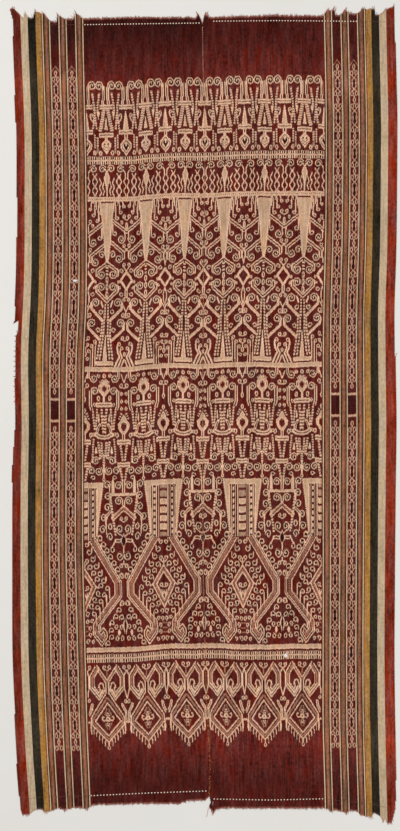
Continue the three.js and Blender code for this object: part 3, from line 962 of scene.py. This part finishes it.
def stretches_of(yarns):
    """Where one column is cut into faces, the run of yarn that each face is on, and the runs' ends."""
    ends = np.array([0, *(np.flatnonzero(np.diff(yarns)) + 1), yarns.size])
    longest = int(LONGEST_FACE / BUNDLE / FINE_ALONG)
    middle_cut = round((MIDDLE_ROW - FIRST_ROW) / FINE_ALONG)
    cuts, run_of_cut = [], []
    for number, (first, last) in enumerate(zip(ends[:-1], ends[1:])):
        if yarns[first] == NO_YARN:
            continue
        pieces = max(1, math.ceil((last - first) / longest))
        marks = set(np.round(np.linspace(first, last, pieces + 1)).astype(int).tolist())
        if first < middle_cut < last:
            marks.add(middle_cut)
        marks = sorted(marks)
        cuts += zip(marks[:-1], marks[1:])
        run_of_cut += [number] * (len(marks) - 1)
    return np.array(cuts), np.array(run_of_cut), ends


def corner_layer(mesh, title, kind, values):
    part = {"FLOAT_COLOR": "color", "FLOAT_VECTOR": "vector"}[kind]
    mesh.attributes.new(title, kind, "CORNER").data.foreach_set(part, values.ravel())


def woven_panel(name, border, field_edge, outline, holes, slips, strip_slip, seed):
    """One loom width, warp by warp: each column is cut where its yarn changes colour."""
    warp = dyed_warp(slips, strip_slip, np.random.default_rng(seed))
    positions = np.array([across_at(border, field_edge, middle, ALONG) for middle in MIDDLES])
    cut_to_shape(warp, positions, outline, holes)

    # Two points at each cut in a column, and a face over each stretch of yarn, upper side up.
    inwards_is_left = border[0][1] > 0
    turn_of_face = [0, 2, 3, 1] if inwards_is_left else [0, 1, 3, 2]
    step = BUNDLE * FINE_ALONG
    points, faces, yarns, next_yarns, to_ends = [], [], [], [], []
    base = 0
    for column, stretch in enumerate(warp):
        cuts, run_of_cut, ends = stretches_of(stretch)
        if not cuts.size:
            continue
        used = np.unique(cuts)
        at = (MIDDLE_ROW - EDGES[used]) * BUNDLE
        for side in SIDES[column:column + 2]:
            across = across_at(border, field_edge, side, at)
            points.append(np.column_stack([across, at, lie(across, at)]))
        far, near = base + np.searchsorted(used, cuts[:, 0]), base + np.searchsorted(used, cuts[:, 1])
        faces.append(np.column_stack([far, near, far + used.size, near + used.size])[:, turn_of_face])
        base += 2 * used.size
        starts, stops = ends[run_of_cut], ends[run_of_cut + 1]
        before, after = stretch[np.maximum(starts - 1, 0)], stretch[np.minimum(stops, ROWS.size - 1)]
        beside_it = np.where(before != NO_YARN, before, after)
        yarns.append(stretch[starts])
        next_yarns.append(np.where((beside_it == NO_YARN) | (starts == 0), stretch[starts], beside_it))
        to_ends.append(np.column_stack([cuts[:, 0] - starts, stops - cuts[:, 1], np.diff(cuts)[:, 0]]) * step)
    points, faces = np.vstack(points), np.vstack(faces)

    mesh = bpy.data.meshes.new(name)
    mesh.vertices.add(len(points))
    mesh.vertices.foreach_set("co", points.ravel())
    mesh.loops.add(faces.size)
    mesh.loops.foreach_set("vertex_index", faces.ravel().astype(np.int32))
    mesh.polygons.add(len(faces))
    mesh.polygons.foreach_set("loop_start", np.arange(0, faces.size, 4, dtype=np.int32))
    mesh.update(calc_edges=True)

    # What the dye needs to know: a stretch's yarn, the next one, and how far off its two ends are.
    palette = np.array([linear(*colour) for colour in YARNS.values()])
    for title, numbers in (("yarn", yarns), ("next_yarn", next_yarns)):
        corner_layer(mesh, title, "FLOAT_COLOR", np.repeat(palette[np.concatenate(numbers)], 4, 0))
    from_start, from_stop, size = np.repeat(np.vstack(to_ends), 4, 0).T
    is_near = np.tile(np.array([0, 1, 0, 1])[turn_of_face], len(faces))
    corner_layer(mesh, "run_ends", "FLOAT_VECTOR", np.column_stack(
        [from_start + size * is_near, from_stop + size * (1 - is_near), np.zeros(faces.size)]))

    # The far and near halves side by side, so that the panel fills its picture when baked.
    corner = points[faces.ravel()]
    on_far_half = np.repeat(corner[:, 1].reshape(-1, 4).mean(1), 4) > 0
    spread = corner[:, 0] - points[:, 0].min()
    half_starts = np.where(on_far_half[:, None], BAKED_FAR_HALF, BAKED_NEAR_HALF)
    flat = half_starts + np.column_stack([spread, corner[:, 1]])
    mesh.uv_layers.new(name="OFBake").data.foreach_set("uv", flat.ravel() / BAKED_SQUARE)

    panel = bpy.data.objects.new(name, mesh)
    bpy.context.collection.objects.link(panel)

    # Where each warp is cut at the far and the near end, which way is outwards, and its yarn there.
    cut_ends = []
    for column in np.flatnonzero((warp != NO_YARN).any(1)):
        shown = np.flatnonzero(warp[column] != NO_YARN)
        for row, way in ((shown[0], 1), (shown[-1], -1)):
            cut_ends.append((positions[column][row], ALONG[row], way, warp[column][row]))
    return panel, cut_ends


def add_node(tree, kind, inputs=(), **settings):
    """One shader node, with values or links for its inputs, by number or by name."""
    made = tree.nodes.new(kind)
    for setting, value in settings.items():
        setattr(made, setting, value)
    for socket, value in dict(inputs).items():
        if isinstance(value, bpy.types.NodeSocket):
            tree.links.new(value, made.inputs[socket])
        else:
            made.inputs[socket].default_value = value
    return made


def sums(tree, operation, *values, clamp=False):
    return add_node(tree, "ShaderNodeMath", dict(enumerate(values)), operation=operation,
                    use_clamp=clamp).outputs[0]


def ramp(tree, value, start, stop, first, last):
    """A value that goes evenly from first to last while another goes from start to stop."""
    return add_node(tree, "ShaderNodeMapRange", {0: value, 1: start, 2: stop, 3: first, 4: last}).outputs[0]


def noise(tree, place, scale=(1.0, 1.0, 1.0), turn=0.0, detail=2.0):
    spread = add_node(tree, "ShaderNodeMapping", {0: place, 2: (0.0, 0.0, turn), 3: scale}).outputs[0]
    return add_node(tree, "ShaderNodeTexNoise", {0: spread, "Scale": 1.0, "Detail": detail}).outputs[0]


def bare_material(name):
    """A new material with its tree, its shader and the place on the object."""
    material = bpy.data.materials.new(name)
    material.use_nodes = True
    tree = material.node_tree
    place = add_node(tree, "ShaderNodeTexCoord").outputs["Object"]
    return material, tree, tree.nodes["Principled BSDF"], place


YARN_WIDTH = 0.00062  # one rib of the face
FLOAT_LENGTH = 0.0022  # how far a yarn runs on the face before it dips under a pick


def ikat_cotton():
    """Warp-faced handspun cotton: feathered dye, streaks from yarn to yarn, and fine ribs."""
    material, tree, shader, place = bare_material("ikat_cotton")
    axes = add_node(tree, "ShaderNodeSeparateXYZ", {0: place})
    across, along = axes.outputs["X"], axes.outputs["Y"]

    def plus(*values):
        return sums(tree, "ADD", *values)

    def minus(*values):
        return sums(tree, "SUBTRACT", *values)

    def times(*values):
        return sums(tree, "MULTIPLY", *values)

    # One value for each yarn, and one for each short stretch of it.
    yarn_number = sums(tree, "FLOOR", sums(tree, "DIVIDE", across, YARN_WIDTH))
    stretch_number = sums(tree, "FLOOR", sums(tree, "DIVIDE", along, FLOAT_LENGTH))
    yarn_vector = add_node(tree, "ShaderNodeCombineXYZ", {0: yarn_number, 1: stretch_number}).outputs[0]
    yarn_chance = add_node(tree, "ShaderNodeTexWhiteNoise", {0: yarn_vector}).outputs["Value"]

    # Dye that crept under the ties, or failed to, at the two ends of each run.
    run_ends = add_node(tree, "ShaderNodeAttribute", attribute_name="run_ends").outputs["Vector"]
    run = add_node(tree, "ShaderNodeSeparateXYZ", {0: run_ends})
    nearest = sums(tree, "MINIMUM", run.outputs[0], run.outputs[1])
    soaked = sums(tree, "MULTIPLY_ADD", minus(times(yarn_chance, 0.0015), nearest), 1800.0, 0.25, clamp=True)
    yarn = add_node(tree, "ShaderNodeAttribute", attribute_name="yarn").outputs["Color"]
    next_yarn = add_node(tree, "ShaderNodeAttribute", attribute_name="next_yarn").outputs["Color"]
    dyed_yarn = add_node(tree, "ShaderNodeMix", {0: times(soaked, 0.8), 6: yarn, 7: next_yarn},
                         data_type="RGBA").outputs[2]

    # Streaks along the warp, blotches of dye and wide patches, all fainter on the undyed yarn. A patch
    # has its scale across and along, its detail and its strength.
    def cloud(across_scale, along_scale, detail):
        return minus(noise(tree, place, (across_scale, along_scale, 1.0), 0.0, detail), 0.5)

    streak = cloud(260.0, 12.0, 4.0)
    uneven = plus(times(streak, 1.9), times(minus(yarn_chance, 0.5), 0.2))
    for *patch, strength in ((170.0, 110.0, 3.0, 1.8), (17.0, 5.0, 4.0, 1.2), (70.0, 22.0, 3.0, 1.2)):
        uneven = plus(uneven, times(cloud(*patch), strength))
    how_light = add_node(tree, "ShaderNodeRGBToBW", {0: dyed_yarn}).outputs[0]
    light = sums(tree, "MULTIPLY_ADD", uneven, ramp(tree, how_light, 0.03, 0.4, 1.0, 0.42), 1.0)
    light = sums(tree, "MAXIMUM", light, 0.3)

    # The unpatterned cloth is paler beside the pattern and darkest at the cut ends, the left panel most,
    # and the left panel's red selvedge is darker than the right one's. Pale yarn hardly shows any of it.
    darker = plus(ramp(tree, along, 0.86, 1.04, 0.0, 0.38), ramp(tree, along, -0.84, -0.92, 0.0, 0.16))
    shade = minus(1.0, times(darker, ramp(tree, across, -0.01, 0.01, 1.0, 0.0)))
    for where, start, stop, first, last in (
        (along, 0.84, 0.90, 1.0, 1.35), (along, 0.90, 1.03, 1.0, 0.46), (along, -0.80, -0.885, 1.0, 1.5),
        (along, -0.89, -0.99, 1.0, 0.53), (across, -0.497, -0.490, 0.58, 1.0),
    ):
        shade = times(shade, ramp(tree, where, start, stop, first, last))
    shown = times(minus(shade, 1.0), ramp(tree, how_light, 0.03, 0.2, 1.0, 0.1))
    light = times(light, plus(shown, 1.0))
    dusty = ramp(tree, cloud(90.0, 14.0, 4.0), -0.25, 0.25, 1.16, 0.9)
    colour = add_node(tree, "ShaderNodeHueSaturation",
                      {"Saturation": dusty, "Value": light, "Color": dyed_yarn})
    tree.links.new(colour.outputs[0], shader.inputs["Base Color"])

    # Ribs of warp, each yarn rising over the hidden weft by turns with its neighbour.
    rib = sums(tree, "ABSOLUTE", sums(tree, "SINE", times(across, math.pi / YARN_WIDTH)))
    picks = sums(tree, "SINE", plus(times(along, 2 * math.pi / FLOAT_LENGTH), times(yarn_number, math.pi)))
    relief = plus(plus(times(rib, 0.7), times(picks, 0.25)), times(streak, 0.6))
    bump = add_node(tree, "ShaderNodeBump", {"Strength": 0.5, "Distance": 0.0003, "Height": relief})
    tree.links.new(bump.outputs[0], shader.inputs["Normal"])
    tree.links.new(ramp(tree, streak, -0.5, 0.5, 0.86, 0.98), shader.inputs["Roughness"])
    shader.inputs["Sheen Weight"].default_value = 0.03
    shader.inputs["Sheen Roughness"].default_value = 0.5
    shader.inputs["Specular IOR Level"].default_value = 0.08
    return material


left_cloth, left_ends = woven_panel(
    "left_panel_cloth", LEFT_BORDER, LEFT_FIELD_EDGE, LEFT_OUTLINE, LEFT_HOLES, LEFT_SLIPS, (0, 0, 0), 11)
right_cloth, right_ends = woven_panel(
    "right_panel_cloth", RIGHT_BORDER, RIGHT_FIELD_EDGE, RIGHT_OUTLINE, RIGHT_HOLES, RIGHT_SLIPS,
    (-6.6, -5.5, -3), 12)
cotton = ikat_cotton()
for cloth, node in ((left_cloth, "left_panel"), (right_cloth, "right_panel")):
    cloth.data.materials.append(cotton)
    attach(cloth, "root")
    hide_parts(node)

# The loose ends of the warp at both cut ends of each panel: they were cut from the loom and never
# hemmed, so each yarn frays out of the cloth by a few millimetres, longer where a tuft hangs on.
LOOSE_THICK = 0.0009
LOOSE_PALE = (212, 138, 116)
YARN_SIDES = 5


def yarn_cotton():
    """Spun cotton, coloured yarn by yarn, with its twist raised in slanting ribs."""
    material, tree, shader, place = bare_material("frayed_cotton")
    yarn = add_node(tree, "ShaderNodeAttribute", attribute_name="yarn").outputs["Color"]
    fuzz = noise(tree, place, (700.0, 700.0, 700.0), 0.0, 3.0)
    colour = add_node(tree, "ShaderNodeHueSaturation",
                      {"Value": ramp(tree, fuzz, 0.3, 0.7, 0.8, 1.2), "Color": yarn}).outputs[0]
    tree.links.new(colour, shader.inputs["Base Color"])
    twist = noise(tree, place, (2200.0, 500.0, 500.0), 0.7)
    bump = add_node(tree, "ShaderNodeBump", {"Strength": 0.4, "Distance": 0.0002, "Height": twist})
    tree.links.new(bump.outputs[0], shader.inputs["Normal"])
    shader.inputs["Roughness"].default_value = 0.92
    return material


def spun(name, strands):
    """One mesh of many yarns. A strand is its path of points, its thickness and its colour."""
    points, faces, colours = [], [], []
    turn = np.linspace(0, 2 * math.pi, YARN_SIDES, endpoint=False)
    for path, thickness, colour in strands:
        path = np.array(path, float)
        ahead = np.gradient(path, axis=0)
        ahead /= np.maximum(np.linalg.norm(ahead, axis=1), 1e-9)[:, None]
        side = np.cross(ahead, (0.0, 0.0, 1.0))
        side /= np.maximum(np.linalg.norm(side, axis=1), 1e-9)[:, None]
        up = np.cross(side, ahead)
        radius = np.full(len(path), thickness / 2)
        radius[[0, -1]] *= 0.45
        rings = path[:, None] + radius[:, None, None] * (
            np.cos(turn)[None, :, None] * side[:, None] + np.sin(turn)[None, :, None] * up[:, None])
        base = len(points)
        points += rings.reshape(-1, 3).tolist()
        for first in range(base, base + (len(path) - 1) * YARN_SIDES, YARN_SIDES):
            for number in range(YARN_SIDES):
                a, b = first + number, first + (number + 1) % YARN_SIDES
                faces.append((a, b, b + YARN_SIDES, a + YARN_SIDES))
        last = base + (len(path) - 1) * YARN_SIDES
        faces.append(tuple(range(base + YARN_SIDES - 1, base - 1, -1)))
        faces.append(tuple(range(last, last + YARN_SIDES)))
        colours += [linear(*colour)] * (len(path) * YARN_SIDES)
    mesh = bpy.data.meshes.new(name)
    mesh.from_pydata(points, [], faces)
    mesh.polygons.foreach_set("use_smooth", [True] * len(faces))
    layer = mesh.attributes.new("yarn", "FLOAT_COLOR", "POINT")
    layer.data.foreach_set("color", np.array(colours).ravel())
    mesh.materials.append(loose_cotton)
    piece = bpy.data.objects.new(name, mesh)
    bpy.context.collection.objects.link(piece)
    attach(piece, "root")
    return piece


# Tufts of yarn that stand out further, as (across, how much longer in millimetres, lean).
FAR_TUFTS = [
    (-512, 7, -0.3), (-483, 5, -0.3), (-457, 8, -0.4), (-432, 6, -0.3), (-394, 6, -0.5), (-346, 7, -0.4),
    (-330, 4, -0.2), (-13, 7, -0.6), (8, 7, 0.2), (332, 6, 0.5), (352, 7, 0.4), (381, 6, 0.5), (394, 4, 0.3),
    (429, 6, 0.4), (461, 7, 0.3), (491, 5, 0.4), (515, 7, 0.3),
]
NEAR_TUFTS = [
    (-490, 3, 0.2), (-475, 4, 0.3), (-429, 4, -0.2), (-374, 3, 0.2), (-315, 4, 0.2), (27, 5, -0.3),
    (345, 4, 0.3), (387, 5, 0.3), (454, 6, 0.2), (486, 5, -0.2), (496, 5, 0.3), (506, 4, 0.4),
]
TUFT_REACH = 5  # millimetres to each side
HIDDEN_LENGTH = 0.004  # metres of each yarn that lie within the cloth
LOWEST = 0.0006
FRAYED_BY = (0.001, 0.0038)
LONG_YARNS = 0.12  # the share of yarns that stand out further
LONGER_BY = (0.001, 0.004)


def frayed_yarns(cut_ends, seed):
    """A short loose yarn from each cut end of the warp, paler than the cloth it comes from."""
    chance = np.random.default_rng(seed)
    strands = []
    dyes = list(YARNS.values())
    share = np.linspace(0, 1, 5)
    for across, along, way, yarn in cut_ends:
        tufts = FAR_TUFTS if way > 0 else NEAR_TUFTS
        found = [(more, lean) for place, more, lean in tufts if abs(across * 1000 - place) < TUFT_REACH]
        more, lean = found[0] if found else (0, 0)
        reach = chance.uniform(*FRAYED_BY) + more / 1000 * chance.uniform(0.5, 1.0)
        if chance.random() < LONG_YARNS:
            reach += chance.uniform(*LONGER_BY)
        sway = reach * (lean + chance.normal(0, 0.25))
        out = along + way * (share * (reach + HIDDEN_LENGTH) - HIDDEN_LENGTH)
        side = across + chance.uniform(-0.0004, 0.0004) + sway * share ** 2
        height = np.maximum(lie(side, out) + 0.0002 - 0.0006 * np.maximum(share - 0.6, 0), LOWEST)
        pale = chance.uniform(0.3, 0.8)
        colour = np.array(dyes[yarn]) * (1 - pale) + np.array(LOOSE_PALE) * pale
        strands.append((np.column_stack([side, out, height]), LOOSE_THICK, colour))
    return strands


loose_cotton = yarn_cotton()
left_fringe = spun("left_panel_loose_ends", frayed_yarns(left_ends, 21))
right_fringe = spun("right_panel_loose_ends", frayed_yarns(right_ends, 22))

# Broken weft along the worn left selvedge, where the red edge was nibbled and torn: short pale ends
# of the hidden weft stand out sideways between the last warps.
WORN_EDGE = (0.036, 0.238)
WORN_PITCH = 0.0135
WEFT_ENDS = 3  # at each place
WEFT_REACH = (0.002, 0.0055)
WEFT_WITHIN = 0.002  # metres that lie within the cloth
WEFT_THICK = 0.0008
WEFT_COLOUR = (168, 120, 98)


def broken_weft():
    chance = np.random.default_rng(23)
    strands = []
    share = np.linspace(0, 1, 5)
    for along in np.arange(*WORN_EDGE, WORN_PITCH):
        for _ in range(WEFT_ENDS):
            at = along + chance.uniform(-0.0015, 0.0015)
            edge = float(np.interp(at, *(np.array(sorted(LEFT_SELVEDGE)).T / 1000)))
            reach = chance.uniform(*WEFT_REACH)
            side = edge + WEFT_WITHIN - share * (reach + WEFT_WITHIN)
            down = at + chance.normal(0, 0.0006) * share ** 2
            height = CLOTH_HEIGHT - 0.0004 * share
            strands.append((np.column_stack([side, down, height]), WEFT_THICK, WEFT_COLOUR))
    return strands


torn_weft = spun("left_selvedge_broken_weft", broken_weft())

# A row of twining across both ends of each panel: one cream and one maroon yarn twisted round one
# another through the warp, which holds the last picks in place. Only the cream turns catch the eye.
# Over the striped borders the row goes on as one thin thread. Paths are (across, along) in metres.
TWINING = {
    "left_far": [(-0.326, 1.0530), (-0.16, 1.0555), (-0.012, 1.0575)],
    "left_near": [(-0.310, -1.0290), (-0.15, -1.0215), (0.008, -1.0160)],
    "right_far": [(0.022, 1.0625), (0.20, 1.0640), (0.324, 1.0630), (0.414, 1.0620)],
    "right_near": [(0.0225, -1.0375), (0.18, -1.0405), (0.323, -1.0370)],
}
BORDER_THREADS = {
    "left_far": [(-0.456, 1.0525), (-0.326, 1.0530)],
    "left_near": [(-0.487, -1.0390), (-0.447, -1.0330), (-0.310, -1.0290)],
    "right_far": [(0.414, 1.0620), (0.512, 1.0600)],
    "right_near": [(0.324, -1.0370), (0.455, -1.0510), (0.508, -1.0640)],
}
TWINE_PITCH = {"far": 0.0077, "near": 0.0086}
SHOWN_TURN = {"span": 0.7, "rise": 0.0007, "thick": 0.0033, "colour": (255, 226, 204)}
DARK_TURN = {"span": 1.25, "rise": 0.0002, "thick": 0.0022, "colour": (42, 14, 13)}
TURN_SLANT = 0.0005
TURN_SUNK = 0.0005
BORDER_THREAD_THICK = 0.0007
BORDER_THREAD_COLOUR = (120, 76, 54)


def twined(stations, pitch):
    """Each strand shows for half a turn at a time, as a short bridge over the warp, then dives under."""
    reach, place = np.array(stations).T
    strands = []
    share = np.linspace(-1, 1, 6)
    for number, start in enumerate(np.arange(reach[0], reach[-1], pitch / 2)):
        turn = SHOWN_TURN if number % 2 else DARK_TURN
        across = start + (share * turn["span"] + 1) / 4 * pitch
        along = np.interp(across, reach, place) + TURN_SLANT * share
        height = lie(across, along) + turn["rise"] * (1 - share ** 2) - TURN_SUNK
        strands.append((np.column_stack([across, along, height]), turn["thick"], turn["colour"]))
    return strands


def border_thread(stations):
    reach, place = np.array(stations).T
    across = np.linspace(reach[0], reach[-1], 60)
    along = np.interp(across, reach, place)
    height = lie(across, along) + 0.0002 + 0.0002 * np.sin(across * 900)
    return np.column_stack([across, along, height]), BORDER_THREAD_THICK, BORDER_THREAD_COLOUR


def twining_of(panel):
    strands = []
    for end, pitch in TWINE_PITCH.items():
        strands += twined(TWINING[f"{panel}_{end}"], pitch)
        strands.append(border_thread(BORDER_THREADS[f"{panel}_{end}"]))
    return strands


left_twining = spun("left_panel_twining", twining_of("left"))
right_twining = spun("right_panel_twining", twining_of("right"))

# The seam: the two inner selvedges meet edge to edge and are whipped together with a doubled cotton
# thread, in short slanting stitches. The lower part was mended again with orange-brown thread.
STITCH_PITCH = 0.0062
STITCH_THICK = 0.0013
STITCH_REACH = 0.0011
STITCH_SLANT = 0.0029
STITCH_RISE = 0.0009
STITCH_SUNK = 0.0003
LOST_STITCHES = 0.1  # the share that has worn away
LOST_IN_MENDED = 0.35
SEAM_THREAD = (202, 156, 128)
MENDED = (-0.62, -1.03)  # from and to, along the seam
MENDING_PITCH = 0.0105
MENDING_THICK = 0.0012
MENDING_THREAD = (196, 118, 62)


def stitch(across, along, reach, slant, thickness, colour):
    """One stitch over the seam, down into the cloth on each side."""
    share = np.linspace(-1, 1, 7)
    side, down = across + share * reach, along + share * slant
    height = lie(side, down) + STITCH_RISE * (1 - share ** 4) - STITCH_SUNK
    return np.column_stack([side, down, height]), thickness, colour


def seam_stitches():
    chance = np.random.default_rng(24)
    stations = sorted(along / 1000 for along, _ in SEAM)
    strands = []
    for along in np.arange(stations[0] + 0.004, stations[-1] - 0.004, STITCH_PITCH):
        across = float(seam_at(along)) + chance.normal(0, 0.0002)
        tint = np.array(SEAM_THREAD) * chance.uniform(0.75, 1.1)
        if along < MENDED[0]:
            tint = np.array(MENDING_THREAD) * chance.uniform(0.6, 1.05)
        is_lost = chance.random() < (LOST_IN_MENDED if along < MENDED[0] else LOST_STITCHES)
        if not is_lost:
            strands.append(stitch(across, along, STITCH_REACH, STITCH_SLANT, STITCH_THICK, tint))
    for along in np.arange(MENDED[1] + 0.01, MENDED[0], MENDING_PITCH):
        at = along + chance.normal(0, 0.002)
        across = float(seam_at(at)) + chance.normal(0, 0.0012)
        tint = np.array(MENDING_THREAD) * chance.uniform(0.8, 1.1)
        reach = chance.uniform(0.0015, 0.0034)
        strands.append(stitch(across, at, reach, chance.normal(0, 0.0028), MENDING_THICK, tint))
    return strands


seam_thread = spun("seam_stitching", seam_stitches())

# A torn corner at the near end of the right panel, beside the seam, trails one loose cotton thread.
# Its path is (across, along, height) in metres.
TRAILING_PATH = [
    (0.0128, -1.0605, 0.0012), (0.0125, -1.0660, 0.0009), (0.0110, -1.0730, 0.0006),
    (0.0098, -1.0790, 0.0006), (0.0086, -1.0840, 0.0006), (0.0070, -1.0865, 0.0007),
]
TRAILING_THICK = 0.0012
TRAILING_COLOUR = (196, 158, 130)
tail = spun("torn_corner_thread", [(TRAILING_PATH, TRAILING_THICK, TRAILING_COLOUR)])

# The floor is no part of the cloth: a plain pale one of smooth plaster with a faint tooth, on which
# both panels are laid, with all the yarns that they carry.
FLOOR_HALF = 6.0
PLASTER = (linear(226, 223, 218), linear(232, 230, 226))


def laid_floor():
    mesh = bpy.data.meshes.new("floor")
    corners = [(x * FLOOR_HALF, y * FLOOR_HALF, 0) for x, y in ((-1, -1), (1, -1), (1, 1), (-1, 1))]
    mesh.from_pydata(corners, [], [(0, 1, 2, 3)])
    material, tree, shader, place = bare_material("pale_plaster")
    cloud = noise(tree, place, (3.0, 3.0, 3.0), 0.0, 5.0)
    tint = add_node(tree, "ShaderNodeMix", {0: cloud, 6: PLASTER[0], 7: PLASTER[1]}, data_type="RGBA")
    tree.links.new(tint.outputs[2], shader.inputs["Base Color"])
    shader.inputs["Roughness"].default_value = 0.9
    mesh.materials.append(material)
    floor = bpy.data.objects.new("floor", mesh)
    bpy.context.collection.objects.link(floor)
    return floor


floor = laid_floor()

# Soft even studio light from above, from two broad panels and a pale room.
LIGHTS = [
    ("large_softbox", (-2.6, 1.8, 4.2), 3.4, 138.0),
    ("small_softbox", (2.8, -1.6, 4.0), 3.0, 87.0),
]
ROOM_COLOUR = (1.0, 0.99, 0.97, 1.0)
ROOM_STRENGTH = 0.42
for name, spot_at, size, power in LIGHTS:
    lamp = bpy.data.lights.new(name, "AREA")
    lamp.energy = power
    lamp.size = size
    holder = bpy.data.objects.new(name, lamp)
    holder.location = spot_at
    bpy.context.collection.objects.link(holder)
    toward = holder.location.copy()
    toward.negate()
    holder.rotation_euler = toward.to_track_quat("-Z", "Y").to_euler()
room = bpy.data.worlds.new("pale_room")
bpy.context.scene.world = room
room.use_nodes = True
room.node_tree.nodes["Background"].inputs["Color"].default_value = ROOM_COLOUR
room.node_tree.nodes["Background"].inputs["Strength"].default_value = ROOM_STRENGTH
bpy.context.scene.view_settings.view_transform = "Standard"

# The camera hangs straight over the cloth, with a long lens.
PHOTO_ROWS = 831
VIEW_LENGTH = PHOTO_ROWS * BUNDLE
VIEW_CENTRE = (-0.0096, -0.0022)
LENS = 135.0
SENSOR = 36.0
camera_data = bpy.data.cameras.new("camera")
camera_data.sensor_fit = "VERTICAL"
camera_data.sensor_height = SENSOR
camera_data.sensor_width = SENSOR
camera_data.lens = LENS
camera_data.clip_end = 100.0
camera = bpy.data.objects.new("camera", camera_data)
camera.location = (*VIEW_CENTRE, cad_high[2] + LENS * VIEW_LENGTH / SENSOR)
bpy.context.collection.objects.link(camera)
bpy.context.scene.camera = camera
